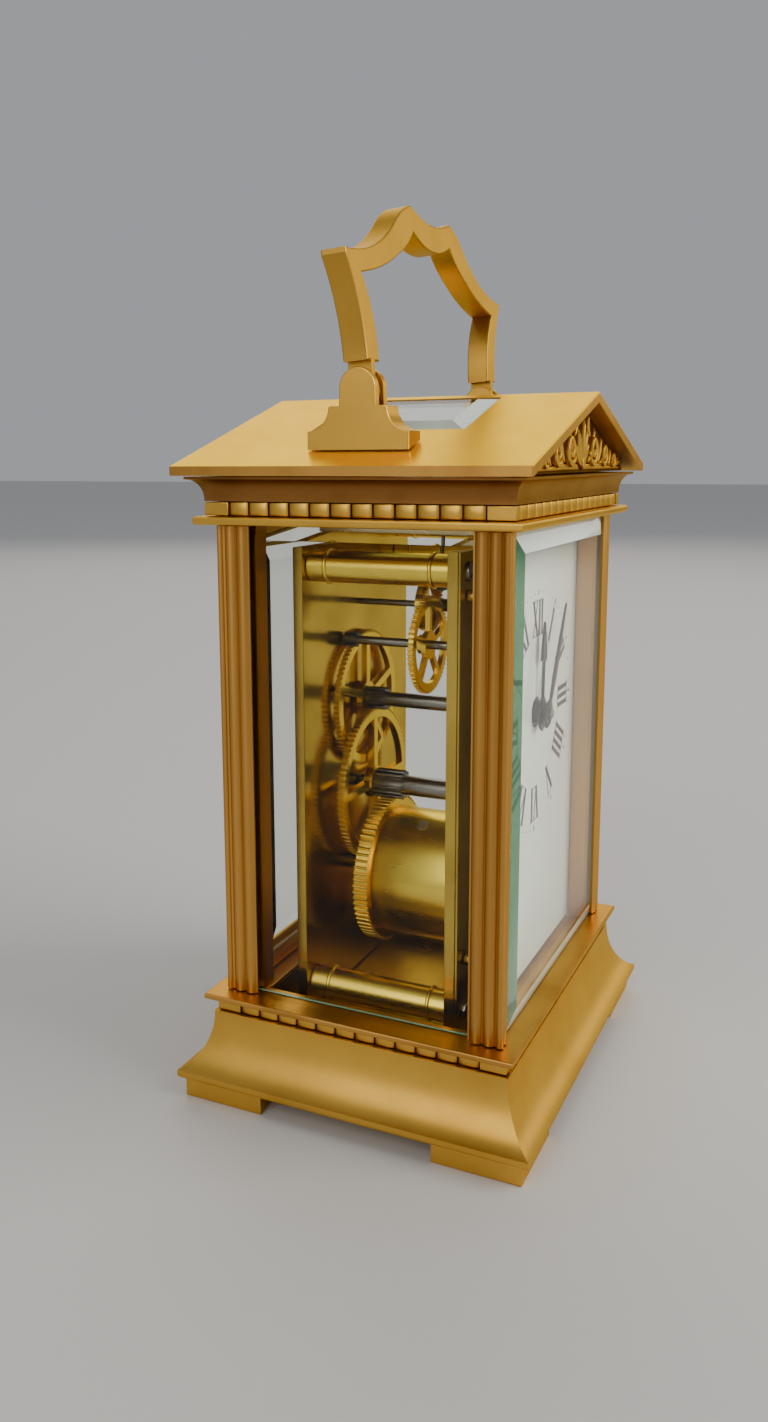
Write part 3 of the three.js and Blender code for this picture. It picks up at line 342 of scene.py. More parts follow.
def sheet_metal(name, loops, low, high, plane, material, bevel, at=(0, 0, 0)):
    """A flat piece cut from loops (the first is the outline), between two heights, with rounded edges.

    In plane XZ the heights run along Y, in YZ along X and in XY along Z.
    """
    curve = bpy.data.curves.new(name, "CURVE")
    curve.dimensions = "2D"
    curve.fill_mode = "BOTH"
    for loop in loops:
        spline = curve.splines.new("POLY")
        spline.points.add(len(loop) - 1)
        for point, (x, y) in zip(spline.points, loop):
            point.co = (x, y, 0, 1)
        spline.use_cyclic_u = True
    curve.bevel_depth = bevel
    curve.bevel_resolution = 1
    curve.offset = -bevel
    curve.extrude = (high - low) / 2 - bevel
    holder = bpy.data.objects.new(name, curve)
    link(holder)
    bpy.context.view_layer.update()
    depsgraph = bpy.context.evaluated_depsgraph_get()
    mesh = bpy.data.meshes.new_from_object(holder.evaluated_get(depsgraph))
    bpy.data.objects.remove(holder)
    height_along, stand = PLANES[plane]
    along = height_along * ((low + high) / 2)
    mesh.transform(Matrix.Translation(along + Vector(at)) @ stand)
    bm = bmesh.new()
    bm.from_mesh(mesh)
    bmesh.ops.remove_doubles(bm, verts=bm.verts, dist=1e-7)
    bmesh.ops.recalc_face_normals(bm, faces=bm.faces)
    bm.to_mesh(mesh)
    bm.free()
    return finish_mesh(name, mesh, material)


def turned(name, profile, material, axis, at, sides):
    """A body turned about an axis; the profile lists (radius, place along the axis)."""
    bm = bmesh.new()
    rings = []
    for radius, place in profile:
        if radius < 1e-9:
            rings.append([bm.verts.new((0, 0, place))])
            continue
        turn = [2 * math.pi * i / sides for i in range(sides)]
        rings.append([bm.verts.new((radius * math.cos(a), radius * math.sin(a), place)) for a in turn])
    for lower, upper in zip(rings, rings[1:]):
        for i in range(sides):
            j = (i + 1) % sides
            corners = [ring[k % len(ring)] for ring, k in ((lower, i), (lower, j), (upper, j), (upper, i))]
            distinct = list(dict.fromkeys(corners))
            if len(distinct) > 2:
                bm.faces.new(distinct)
    turn_to = {
        "Z": Matrix.Identity(4),
        "Y": Matrix.Rotation(math.radians(-90), 4, "X"),
        "X": Matrix.Rotation(math.radians(90), 4, "Y"),
    }[axis]
    bmesh.ops.transform(bm, matrix=Matrix.Translation(at) @ turn_to, verts=bm.verts)
    return from_bmesh(name, bm, material, 30)


def rect_loft(name, levels, material, opening=None, smooth_deg=25):
    """A mitred moulding: rectangles (half x, half y, z) joined upward.

    It may have a rectangular opening right through it.
    """
    bm = bmesh.new()
    corners = ((-1, -1), (1, -1), (1, 1), (-1, 1))

    def ring(half_x, half_y, z):
        return [bm.verts.new((sx * half_x, sy * half_y, z)) for sx, sy in corners]

    def skin(lower, upper):
        for i in range(4):
            j = (i + 1) % 4
            bm.faces.new((lower[i], lower[j], upper[j], upper[i]))

    rings = [ring(*level) for level in levels]
    for lower, upper in zip(rings, rings[1:]):
        skin(lower, upper)
    if opening:
        inner_low = ring(*opening, levels[0][2])
        inner_high = ring(*opening, levels[-1][2])
        skin(inner_high, inner_low)
        skin(inner_low, rings[0])
        skin(rings[-1], inner_high)
    else:
        bm.faces.new(rings[0][::-1])
        bm.faces.new(rings[-1])
    return from_bmesh(name, bm, material, smooth_deg)


def block(name, low, high, material, bevel):
    """A rounded block between two corners."""
    half = [(b - a) / 2 for a, b in zip(low, high)]
    middle = [(b + a) / 2 for a, b in zip(low, high)]
    piece = rect_loft(name, [(half[0], half[1], -half[2]), (half[0], half[1], half[2])], material)
    piece.data.transform(Matrix.Translation(middle))
    if bevel:
        soften(piece, bevel)
    return piece


def polar(radius, angle, cx=0.0, cy=0.0):
    """The point at a radius and an angle in radians around a centre."""
    return (cx + radius * math.cos(angle), cy + radius * math.sin(angle))


def arc(cx, cy, radius, from_deg, to_deg, steps):
    """Points along an arc, both ends included."""
    angles = [math.radians(from_deg + (to_deg - from_deg) * i / steps) for i in range(steps + 1)]
    return [polar(radius, a, cx, cy) for a in angles]


def circle(radius, steps, cx=0.0, cy=0.0):
    """A closed loop around a centre."""
    return arc(cx, cy, radius, 0, 360, steps)[:-1]


def rectangle(x0, y0, x1, y1):
    """A closed loop between two corners."""
    return [(x0, y0), (x1, y0), (x1, y1), (x0, y1)]


def bezier(a, control, b, steps):
    """Points along a quadratic curve, without its start."""
    points = []
    for i in range(1, steps + 1):
        t = i / steps
        weights = ((1 - t) ** 2, 2 * t * (1 - t), t * t)
        points.append(tuple(sum(w * p[k] for w, p in zip(weights, (a, control, b))) for k in (0, 1)))
    return points


def in_mm(points):
    """Turns points given in millimetres into metres."""
    return [tuple(value * MM for value in point) for point in points]


def give_faces(piece, material, belongs):
    """Gives another material to the faces that a test picks out."""
    piece.data.materials.append(material)
    index = len(piece.data.materials) - 1
    for polygon in piece.data.polygons:
        if belongs(polygon):
            polygon.material_index = index


def stands_for(piece, body, *nodes):
    """The piece rides on a body and takes the place of its CAD nodes."""
    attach(piece, body)
    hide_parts(*nodes)
    return piece


# ---- Case mouldings -----------------------------------------------------------------------------------
SIDES = (("left", -1), ("right", 1))
CORNERS = {"front_left": (-1, -1), "front_right": (1, -1), "rear_left": (-1, 1), "rear_right": (1, 1)}
OPEN_X, OPEN_Y = 34.4 * MM, 23.6 * MM
FLOOR_TOP = 16 * MM
BASE_LIP_DEG = 14
TOP_OPEN_X, TOP_OPEN_Y = 31 * MM, 22 * MM


def make_base():
    """The base moulding: a rounded lip, a hollow rising to the top, a well above and a hollow below."""
    low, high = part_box("base_moulding")
    half_x, half_y = high.x, high.y
    inset_x, inset_y = 6.1 * MM, 6.4 * MM
    nose, lip = 1.0 * MM, 1.9 * MM
    levels = [(half_x - 1.2 * MM, half_y - 1.2 * MM, low.z)]
    for x, z in arc(0, 0, nose, -75, 0, 6):
        levels.append((half_x - nose + x, half_y - nose + x, low.z + nose * 0.97 + z))
    start = math.radians(BASE_LIP_DEG)
    steps = 24
    for step in range(steps + 1):
        a = start + (math.pi / 2 - start) * step / steps
        inward = (math.sin(a) - math.sin(start)) / (1 - math.sin(start))
        rise = 1 - math.cos(a) / math.cos(start)
        climb = (high.z - low.z - lip) * rise
        levels.append((half_x - inset_x * inward, half_y - inset_y * inward, low.z + lip + climb))
    base = rect_loft("base_moulding_fine", levels, GILT, smooth_deg=30)
    well = block("tool_well", (-OPEN_X, -OPEN_Y, FLOOR_TOP), (OPEN_X, OPEN_Y, high.z + 0.01), GILT, 0)
    rim, floor_under = 7 * MM, 12 * MM
    under_x, under_y = half_x - inset_x - rim, half_y - inset_y - rim
    hollow_low, hollow_high = (-under_x, -under_y, low.z - 0.01), (under_x, under_y, floor_under)
    hollow = block("tool_hollow", hollow_low, hollow_high, GILT, 0)
    carve(base, well, hollow)
    margin = 0.1 * MM

    def in_shaded_well(polygon):
        x, y, z = (abs(value) for value in polygon.center)
        return x < OPEN_X + margin and y < OPEN_Y + margin and z > floor_under + 1 * MM

    # Faces inside the well take the darker gilt as painted shade.
    give_faces(base, WELL_SHADE_GILT, in_shaded_well)
    crease(base, 30)
    stands_for(base, "case", "base_moulding")


def make_feet():
    """Four L-shaped feet under the corners."""
    for corner, (sx, sy) in CORNERS.items():
        low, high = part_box(f"foot_{corner}")
        arm, width, splay = high.x - low.x, 7 * MM, 0.8 * MM
        outer_x, outer_y = (high.x if sx > 0 else low.x), (high.y if sy > 0 else low.y)
        ell = [(0, 0), (arm, 0), (arm - splay, width), (width, width), (width, arm - splay), (0, arm)]
        outline = [(outer_x - sx * x, outer_y - sy * y) for x, y in ell]
        piece = sheet_metal(f"foot_{corner}_fine", [outline], low.z, high.z, "XY", GILT, 0.3 * MM)
        stands_for(piece, "case", f"foot_{corner}")


# Beads on a long and on a short side, the end blocks in bead pitches, and a bead's swell at each height.
BEADS_X, BEADS_Y = 15, 12
BLOCK_X, BLOCK_Y = 0.5, 1.25
BEAD_LEVELS = ((0.02, 0.86), (0.06, 0.95), (0.14, 1.0), (0.5, 1.0), (0.92, 1.0), (0.98, 0.92))


def gadroon_strip(name, node, opening):
    """A recessed core with a row of convex beads on every side and a plain block at each end of a row."""
    low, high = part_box(node)
    half_x, half_y, height, depth = high.x, high.y, high.z - low.z, 1.0 * MM
    core_x, core_y = half_x - depth, half_y - depth
    # The core between the beads is dark gilt: painted shade in the grooves.
    parts = [rect_loft(name + "_core", [(core_x, core_y, z) for z in (low.z, high.z)], RECESS_SHADE_GILT, opening)]

    def bead(along, across, width, facing):
        """A roll with a broad front; its ends are drawn in a little."""
        bm = bmesh.new()
        steps, rows = 10, []
        turns = [math.pi * i / steps for i in range(steps + 1)]
        root = -0.4 * depth
        for lift, swell in BEAD_LEVELS:
            row = [(-math.cos(a) * width / 2, math.sin(a) ** 0.38 * depth * swell) for a in turns]
            row = [(row[0][0], root)] + row + [(row[-1][0], root)]
            rows.append([bm.verts.new((along + u, across + out, low.z + height * lift)) for u, out in row])
        close_rows(bm, rows)
        bmesh.ops.transform(bm, matrix=Matrix.Rotation(facing, 4, "Z"), verts=bm.verts)
        return from_bmesh(name + "_bead", bm, GILT, 50)

    pitch_x = 2 * half_x / (BEADS_X + 2 * BLOCK_X)
    pitch_y = 2 * half_y / (BEADS_Y + 2 * BLOCK_Y)
    along_x = (half_x, half_y, pitch_x, BEADS_X, BLOCK_X)
    along_y = (half_y, half_x, pitch_y, BEADS_Y, BLOCK_Y)
    for facing_deg, row in ((0, along_x), (180, along_x), (90, along_y), (-90, along_y)):
        half_length, half_depth, pitch, count, ends = row
        for index in range(count):
            along = -half_length + pitch * (index + ends + 0.5)
            parts.append(bead(along, half_depth - depth, pitch * 0.95, math.radians(facing_deg)))
    gap = 0.12 * MM
    block_x, block_y = pitch_x * BLOCK_X - gap, pitch_y * BLOCK_Y - gap
    for sx, sy in CORNERS.values():
        x0, x1 = sorted((sx * half_x, sx * (half_x - block_x)))
        y0, y1 = sorted((sy * half_y, sy * (half_y - block_y)))
        corner_low, corner_high = (x0, y0, low.z + gap / 4), (x1, y1, high.z - gap / 4)
        parts.append(block(name + "_block", corner_low, corner_high, GILT, 0.15 * MM))
    stands_for(merged(name, parts), "case", node)


def close_rows(bm, rows):
    """Skins rows of vertices, each row a closed section, and caps both ends."""
    for lower, upper in zip(rows, rows[1:]):
        for i in range(len(lower)):
            j = (i + 1) % len(lower)
            bm.faces.new((lower[i], lower[j], upper[j], upper[i]))
    bm.faces.new(rows[0][::-1])
    bm.faces.new(rows[-1])


def flat_frame(name, node, opening, material=GILT, bevel=0.28 * MM):
    """A thin moulded plate with an open middle and rounded edges."""
    low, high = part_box(node)
    loops = [rectangle(-half_x, -half_y, half_x, half_y) for half_x, half_y in ((high.x, high.y), opening)]
    piece = sheet_metal(name, loops, low.z, high.z, "XY", material, bevel)
    stands_for(piece, "case", node)


def make_crown():
    """The hollow moulding under the eaves, flaring out upward."""
    low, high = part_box("crown_cavetto")
    flare_x, flare_y, step_in, foot = 3.4 * MM, 2.7 * MM, 0.35 * MM, 0.3 * MM
    cove_top = high.z - 0.6 * MM
    levels = [(high.x - flare_x, high.y - flare_y, low.z)]
    steps = 14
    for step in range(steps + 1):
        a = step / steps * math.pi / 2
        levels.append((
            high.x - flare_x + (flare_x - step_in) * (1 - math.cos(a)),
            high.y - flare_y + (flare_y - step_in) * (1 - math.cos(a)),
            low.z + foot + (cove_top - low.z - foot) * math.sin(a),
        ))
    levels += [(high.x, high.y, cove_top + 0.1 * MM), (high.x, high.y, high.z)]
    # The crown takes the dark gilt as painted shade under the eaves.
    piece = rect_loft("crown_fine", levels, CROWN_SHADE_GILT, (TOP_OPEN_X, TOP_OPEN_Y), 30)
    stands_for(piece, "case", "crown_cavetto")


def column_outline(glass_at_end, outer_x, outer_y, depth_y, width_x):
    """Section of the column at +X, +Y.

    Two broad reeds and a bead are on the side, a reed and fillets on the end.
    """
    inner_y, inner_x = outer_y - depth_y, outer_x - width_x
    points = [(outer_x - 0.75 * MM, inner_y)]

    def reed(start, end, out, rise):
        steps = 10
        for i in range(steps + 1):
            t = i / steps
            bulge = rise * (math.sin(math.pi * t) ** 0.75 - 1)
            points.append(tuple(start[k] + (end[k] - start[k]) * t + out[k] * bulge for k in (0, 1)))

    reed((outer_x, inner_y + 0.35 * MM), (outer_x, inner_y + 3.05 * MM), (1, 0), 0.75 * MM)
    reed((outer_x, inner_y + 3.15 * MM), (outer_x, inner_y + 5.75 * MM), (1, 0), 0.75 * MM)
    bead = 0.75 * MM
    points += arc(outer_x - bead - 0.1 * MM, outer_y - bead - 0.02 * MM, bead, -70, 150, 9)
    reed((outer_x - 1.9 * MM, outer_y), (outer_x - 3.7 * MM, outer_y), (0, 1), 0.55 * MM)
    if glass_at_end:
        step_x, seat_y = 35.4 * MM, 29 * MM
        points += [(step_x + 0.4 * MM, outer_y - 0.35 * MM), (step_x, outer_y - 0.6 * MM)]
        points += [(step_x, seat_y), (inner_x, seat_y), (inner_x, inner_y)]
    else:
        points += [(inner_x + 0.4 * MM, outer_y - 0.2 * MM), (inner_x, outer_y - 0.6 * MM)]
        points.append((inner_x, inner_y))
    slot_inner, slot_outer, slot_end = 35.8 * MM, 38.8 * MM, 27.6 * MM
    points += [(slot_inner, inner_y), (slot_inner, slot_end)]
    points += [(slot_outer, slot_end), (slot_outer, inner_y)]
    return points


def make_columns():
    """The four fluted corner columns; the front pair holds the front glass."""
    for corner, (sx, sy) in CORNERS.items():
        node = f"column_{corner}"
        low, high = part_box(node)
        outer_x, outer_y = max(abs(low.x), abs(high.x)), max(abs(low.y), abs(high.y))
        outline = column_outline(sy < 0, outer_x, outer_y, high.y - low.y, high.x - low.x)
        outline = [(sx * x, sy * y) for x, y in outline]
        # The columns take the darker gilt as painted shade.
        piece = sheet_metal(node + "_fine", [outline], low.z, high.z, "XY", SHADED_GILT, 0.05 * MM)
        stands_for(piece, "case", node)


# ---- Roof ---------------------------------------------------------------------------------------------
roof_low, roof_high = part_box("roof")
EAVE_TOP = roof_low.z + 1.9 * MM
PITCH = math.atan2(roof_high.z - EAVE_TOP, roof_high.x)
ROOF_THICKNESS = 2.1 * MM
PANE_NEAR, PANE_WIDTH, PANE_HALF_Y = 2.2 * MM, 23.4 * MM, 17 * MM


def roof_top_at(x):
    """Height of the roof's upper face."""
    return roof_high.z - (roof_high.z - EAVE_TOP) * abs(x) / roof_high.x


def on_slope(piece, side, lift):
    """Lays a piece made around the origin on the middle of a roof pane's place."""
    middle = PANE_NEAR + PANE_WIDTH * math.cos(PITCH) / 2
    turn = Matrix.Rotation(side * PITCH, 4, "Y")
    place = Matrix.Translation((side * middle, 0, roof_top_at(middle)))
    piece.data.transform(place @ turn @ Matrix.Translation((0, 0, lift)))
    return piece


def make_roof():
    """The gabled roof with a rebated opening for the pane on each slope."""
    drop = ROOF_THICKNESS / math.cos(PITCH)
    eave, half_y = roof_high.x, roof_high.y
    inner = eave * (roof_high.z - drop - roof_low.z) / (roof_high.z - EAVE_TOP)
    section = [
        (-eave, roof_low.z), (-inner, roof_low.z), (0, roof_high.z - drop), (inner, roof_low.z),
        (eave, roof_low.z), (eave, EAVE_TOP), (0, roof_high.z), (-eave, EAVE_TOP)]
    roof = sheet_metal("roof_fine", [section], -half_y, half_y, "XZ", ROOF_LIT_GILT, 0.22 * MM)
    room, ledge, depth = 0.25 * MM, 1.4 * MM, 2 * MM
    seat_x, seat_y = PANE_WIDTH / 2 + room, PANE_HALF_Y + room
    open_x, open_y = seat_x - ledge, seat_y - ledge
    tools = []
    for side in (-1, 1):
        wide = block("tool_seat", (-seat_x, -seat_y, 0), (seat_x, seat_y, 2 * depth), ROOF_LIT_GILT, 0)
        tools.append(on_slope(wide, side, -depth))
        through = block("tool_open", (-open_x, -open_y, -3 * depth), (open_x, open_y, depth), ROOF_LIT_GILT, 0)
        tools.append(on_slope(through, side, 0))
    carve(roof, *tools)
    # Painted shade: faces looking sideways or down take the darker gilt, while the lit top faces keep the
    # bright copy.
    give_faces(roof, SHADED_GILT, lambda polygon: polygon.normal.z < 0.3)
    crease(roof, 20)
    stands_for(roof, "case", "roof")


def scroll_outline(cx, cz, radius, turns, start_deg, hand, ribbon):
    """A tapering spiral ribbon; keep is the share of the radius left at its eye."""
    steps, keep = 44, 0.24
    outer, inner = [], []
    for i in range(steps + 1):
        t = i / steps
        a = math.radians(start_deg) + hand * turns * 2 * math.pi * t
        reach = radius * (1 - (1 - keep) * t)
        half = ribbon / 2 * (1 - 0.4 * t) * min(1, 0.35 + 6 * t)
        outer.append((cx + (reach + half) * math.cos(a), cz + (reach + half) * math.sin(a)))
        inner.append((cx + (reach - half) * math.cos(a), cz + (reach - half) * math.sin(a)))
    return outer + inner[::-1]


def leaf_outline(base, tip, width, bend):
    """A pointed leaf from base to tip, its spine bowed sideways."""
    (x0, z0), (x1, z1) = base, tip
    length = math.hypot(x1 - x0, z1 - z0)
    ux, uz = (x1 - x0) / length, (z1 - z0) / length
    left, right = [], []
    for i in range(13):
        t = i / 12
        bow = bend * math.sin(math.pi * t)
        half = width / 2 * math.sin(math.pi * min(1, t * 0.92 + 0.08)) ** 0.8
        px, pz = x0 + ux * length * t - uz * bow, z0 + uz * length * t + ux * bow
        left.append((px - uz * half, pz + ux * half))
        right.append((px + uz * half, pz - ux * half))
    return left + right[::-1]


# The cast relief of a gable, in millimetres from the middle of its foot: scrolls as (x, z, radius, turns,
# ribbon width), leaves as (x and z at the base, x and z at the tip, width, bend), and the stem below them.
SCROLLS = ((9.4, 4.9, 3.3, 1.45, 1.5), (19.3, 4.0, 2.5, 1.4, 1.25), (27.9, 2.9, 1.7, 1.3, 0.95))
LEAVES = (
    (5.2, 2.2, 10.4, 9.6, 1.5, -1.0), (14, 2.2, 16.6, 7.6, 1.4, -0.7), (15, 1.9, 22.6, 5.9, 1.2, -0.9),
    (24, 1.4, 25.6, 5.2, 1.0, -0.5), (30, 1.3, 36.2, 2.3, 1.1, 0.2), (6.2, 7.6, 4.6, 12.1, 1.2, 0.6),
    (31.5, 2.4, 33.8, 3.5, 0.8, -0.2))
STEM = ((1.5, 0.6), (38, 0.5), (31, 1.6), (24, 1.3), (16, 1.9), (3, 1.8))


def make_gable(name, node, sy):
    """The recessed panel with cast acanthus scrolls rising to a shell in the middle."""
    low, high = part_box(node)
    face, relief, thickness = 33.6 * MM, 1.6 * MM, 2 * MM
    half, foot = high.x, low.z
    apex = roof_high.z - (ROOF_THICKNESS / math.cos(PITCH) + 0.2 * MM)
    shoulder = apex - (roof_high.z - EAVE_TOP) / roof_high.x * half
    parts = []

    def layer(outline, back, front, material, bevel):
        """A flat layer between two distances in front of the panel's face."""
        span = sorted((sy * (face + back), sy * (face + front)))
        parts.append(sheet_metal(name + "_layer", [outline], *span, "XZ", material, bevel))

    def raised(outline, rise, bevel):
        layer(outline, -0.3 * MM, rise, GILT, bevel)

    def beside_foot(hand, *points):
        return [(hand * x * MM, foot + z * MM) for x, z in points]

    panel = [(-half, foot), (half, foot), (half, shoulder), (0, apex), (-half, shoulder)]
    # The panel behind the relief is dark gilt: painted shade in the recess.
    layer(panel, -thickness, 0, RECESS_SHADE_GILT, 0.1 * MM)
    for hand, start_deg in ((-1, -20), (1, 200)):
        for x, z, radius, turns, ribbon in SCROLLS:
            centre = beside_foot(hand, (x, z))[0]
            spiral = scroll_outline(*centre, radius * MM, turns, start_deg, hand, ribbon * MM)
            raised(spiral, relief, 0.42 * MM)
        for base_x, base_z, tip_x, tip_z, width, bend in LEAVES:
            base, tip = beside_foot(hand, (base_x, base_z), (tip_x, tip_z))
            raised(leaf_outline(base, tip, width * MM, hand * bend * MM), relief * 0.75, 0.36 * MM)
        raised(beside_foot(hand, *STEM), relief * 0.55, 0.3 * MM)
    for index in range(-2, 3):
        angle = math.radians(90 - index * 23)
        length = (9.6 - abs(index) * 1.5) * MM
        root = (index * 0.5 * MM, foot + 1.6 * MM)
        tip = polar(length, angle, *root)
        raised(leaf_outline(root, tip, 2.1 * MM, 0), relief * (1 - 0.12 * abs(index)), 0.5 * MM)
    raised(circle(1.3 * MM, 20, 0, foot + 2.0 * MM), relief, 0.5 * MM)
    stands_for(merged(name, parts), "case", node)


def glass_pane(name, half_a, half_b, thickness, edge, bevel_a, bevel_b, bevel_material=GLASS, drop=0):
    """A plate with wide ground bevels on its outer face: outer face up, its back at z = 0.

    The flat part of the outer face may sit lower than the middle of the pane by drop.
    """
    levels = [
        (half_a - 0.1 * MM, half_b - 0.1 * MM, 0), (half_a, half_b, 0.1 * MM),
        (half_a, half_b, edge), (half_a - bevel_a, half_b - bevel_b, thickness)]
    piece = rect_loft(name, levels, GLASS, smooth_deg=2)
    give_faces(piece, EDGE_GLASS, lambda face: abs(face.normal.z) < 0.2)
    give_faces(piece, bevel_material, lambda face: 0.2 <= abs(face.normal.z) < 0.999 and face.center.z > edge)
    for vertex in piece.data.vertices:
        if vertex.co.z > thickness - 0.01 * MM:
            vertex.co.y -= drop
    return piece


def make_roof_glasses():
    thickness, edge, bevel, stand_out = 2.4 * MM, 1.3 * MM, 3.8 * MM, 0.7 * MM
    measures = (PANE_WIDTH / 2, PANE_HALF_Y, thickness, edge, bevel, bevel)
    for name, side in SIDES:
        pane = glass_pane(f"roof_glass_{name}_fine", *measures, PALE_BEVEL)
        on_slope(pane, side, stand_out - thickness)
        stands_for(pane, "case", f"roof_glass_{name}")


def make_side_and_front_glasses():
    edge, front_bevel = 1.2 * MM, 4.6 * MM
    upright = Matrix.Rotation(math.pi / 2, 4, "X")
    for name, side in SIDES:
        low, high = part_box(f"side_glass_{name}")
        half_z, mid_z = (high.z - low.z) / 2, (high.z + low.z) / 2
        measures = (high.y, half_z, high.x - low.x, edge, 6 * MM, 1.8 * MM)
        pane = glass_pane(f"side_glass_{name}_fine", *measures, drop=1.1 * MM)
        inner = min(abs(low.x), abs(high.x))
        stand = Matrix.Rotation(side * math.pi / 2, 4, "Z") @ upright
        pane.data.transform(Matrix.Translation((side * inner, 0, mid_z)) @ stand)
        stands_for(pane, "case", f"side_glass_{name}")
    low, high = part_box("front_glass")
    measures = (high.x, (high.z - low.z) / 2, high.y - low.y, edge, front_bevel, front_bevel)
    pane = glass_pane("front_glass_fine", *measures, GREEN_BEVEL)
    pane.data.transform(Matrix.Translation((0, high.y, (high.z + low.z) / 2)) @ upright)
    stands_for(pane, "case", "front_glass")


# ---- Handle -------------------------------------------------------------------------------------------
PIVOT_Z = joint_at["handle_fold"].z
block_low, block_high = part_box("handle_block_right")
BLOCK_MIDDLE = (block_low.x + block_high.x) / 2
HANDLE_LEAN = math.radians(4)


def make_handle_blocks():
    """Slotted lugs: a domed stem on a stepped foot whose underside follows the roof."""
    foot_y, ledge_y, stem, dome = block_high.y, 6.3 * MM, 3.9 * MM, 3.8 * MM
    bottom, foot_top, shoulder, ledge = (value * MM for value in (139, 144.9, 148.9, 149.8))
    slot_floor, lift, dome_z = 148.3 * MM, 0.3 * MM, block_high.z - dome
    right = [(foot_y, bottom), (foot_y, foot_top)]
    right += bezier((foot_y, foot_top), (ledge_y + 0.7 * MM, foot_top + 0.7 * MM), (ledge_y, shoulder), 12)
    right += arc(ledge_y - 0.5 * MM, ledge - 0.5 * MM, 0.5 * MM, 10, 90, 4) + [(stem, ledge)]
    left = [(-y, z) for y, z in reversed(right)]
    outline = left[-1:] + right + arc(0, dome_z, dome, 0, 180, 28) + left[:-1]
    half = (block_high.x - block_low.x) / 2
    slope_y, slope_x = 20 * MM, 60 * MM
    cheek, reach = 1.1 * MM, stem + 0.2 * MM
    for name, side in SIDES:
        centre = side * BLOCK_MIDDLE
        span = (centre - half, centre + half)
        piece = sheet_metal(f"handle_block_{name}_fine", [outline], *span, "YZ", GILT, 0.25 * MM)
        slot = block("tool_slot", (centre - cheek, -reach, slot_floor), (centre + cheek, reach, 0.2), GILT, 0)
        eaves = roof_top_at(slope_x) + lift
        slope = [(-slope_x, eaves), (0, roof_high.z + lift), (slope_x, eaves)]
        slope += [(slope_x, 0.1), (-slope_x, 0.1)]
        under = sheet_metal("tool_slope", [slope[::-1]], -slope_y, slope_y, "XZ", GILT, 0.001 * MM)
        carve(piece, slot, under)
        crease(piece, 20)
        stands_for(piece, "case", f"handle_block_{name}")
        pin_low, pin_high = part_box(f"handle_pin_{name}")
        length, radius, round_off = (pin_high.x - pin_low.x) / 2, 1.1 * MM, 0.15 * MM
        profile = [(0, -length), (radius - round_off, -length), (radius, round_off - length)]
        profile += [(r, -x) for r, x in reversed(profile)]
        pin = turned(f"handle_pin_{name}_fine", profile, GILT, "X", (centre, 0, PIVOT_Z), 24)
        stands_for(pin, "case", f"handle_pin_{name}")


# The right half of the handle in millimetres, as curves (control point, end, steps) from the top of the
# bow round its outside and back along its inside. A curve without a control point is a straight edge.
HANDLE_TOP = (0, 189.5)
HANDLE_CURVES = (
    ((5, 189.5), (11.3, 191.6), 10), ((15.6, 190.6), (19.6, 187.2), 10), ((30, 178.6), (44.6, 178.1), 16),
    (None, (44.7, 177.1), 1), ((38.6, 168), (38.2, 158.2), 14), (None, (32.4, 158.2), 1),
    ((32.5, 167.5), (38, 174.4), 14), ((27, 176.4), (20, 180.1), 12), ((13.6, 182.8), (10.7, 186.3), 10),
    ((5, 183.6), (0, 183.8), 10))


def handle_outline():
    right = [HANDLE_TOP]
    for control, end, steps in HANDLE_CURVES:
        right += bezier(right[-1], control, end, steps) if control else [end]
    return in_mm(right + [(-x, z) for x, z in right[-2:0:-1]])


def make_handle():
    """The bow with a round, bored tongue at the foot of each leg."""
    half, tongue_half, tongue_top, shoulder = 2.6 * MM, 0.8 * MM, 159 * MM, PIVOT_Z + 1 * MM
    # The bow and its tongues take the darker gilt as painted shade.
    parts = [sheet_metal("handle_bar", [handle_outline()], -half, half, "XZ", HANDLE_SHADE_GILT, 0.3 * MM)]
    tongue = [(-half, tongue_top), (-half, shoulder)] + arc(0, PIVOT_Z, 3.4 * MM, 160, 380, 26)
    tongue += [(half, shoulder), (half, tongue_top)]
    loops = [tongue, circle(1.4 * MM, 24, 0, PIVOT_Z)]
    for side in (-1, 1):
        centre = side * BLOCK_MIDDLE
        span = (centre - tongue_half, centre + tongue_half)
        parts.append(sheet_metal("handle_tongue", loops, *span, "YZ", HANDLE_SHADE_GILT, 0.15 * MM))
    handle = merged("handle_fine", parts)
    pivot, lean = Vector((0, 0, PIVOT_Z)), Matrix.Rotation(-HANDLE_LEAN, 4, "X")
    handle.data.transform(Matrix.Translation(pivot) @ lean @ Matrix.Translation(-pivot))
    stands_for(handle, "handle", "handle")


# ---- Rear door ----------------------------------------------------------------------------------------
# Radius and distance from the door, in millimetres.
KNOB_PROFILE = (
    (0, 0), (1.9, 0), (2.0, 0.3), (1.7, 0.6), (0.95, 0.9), (0.8, 1.5), (0.95, 1.9), (1.7, 2.3),
    (2.1, 2.9), (2.15, 3.5), (1.8, 4.2), (1.1, 4.7), (0, 4.9))


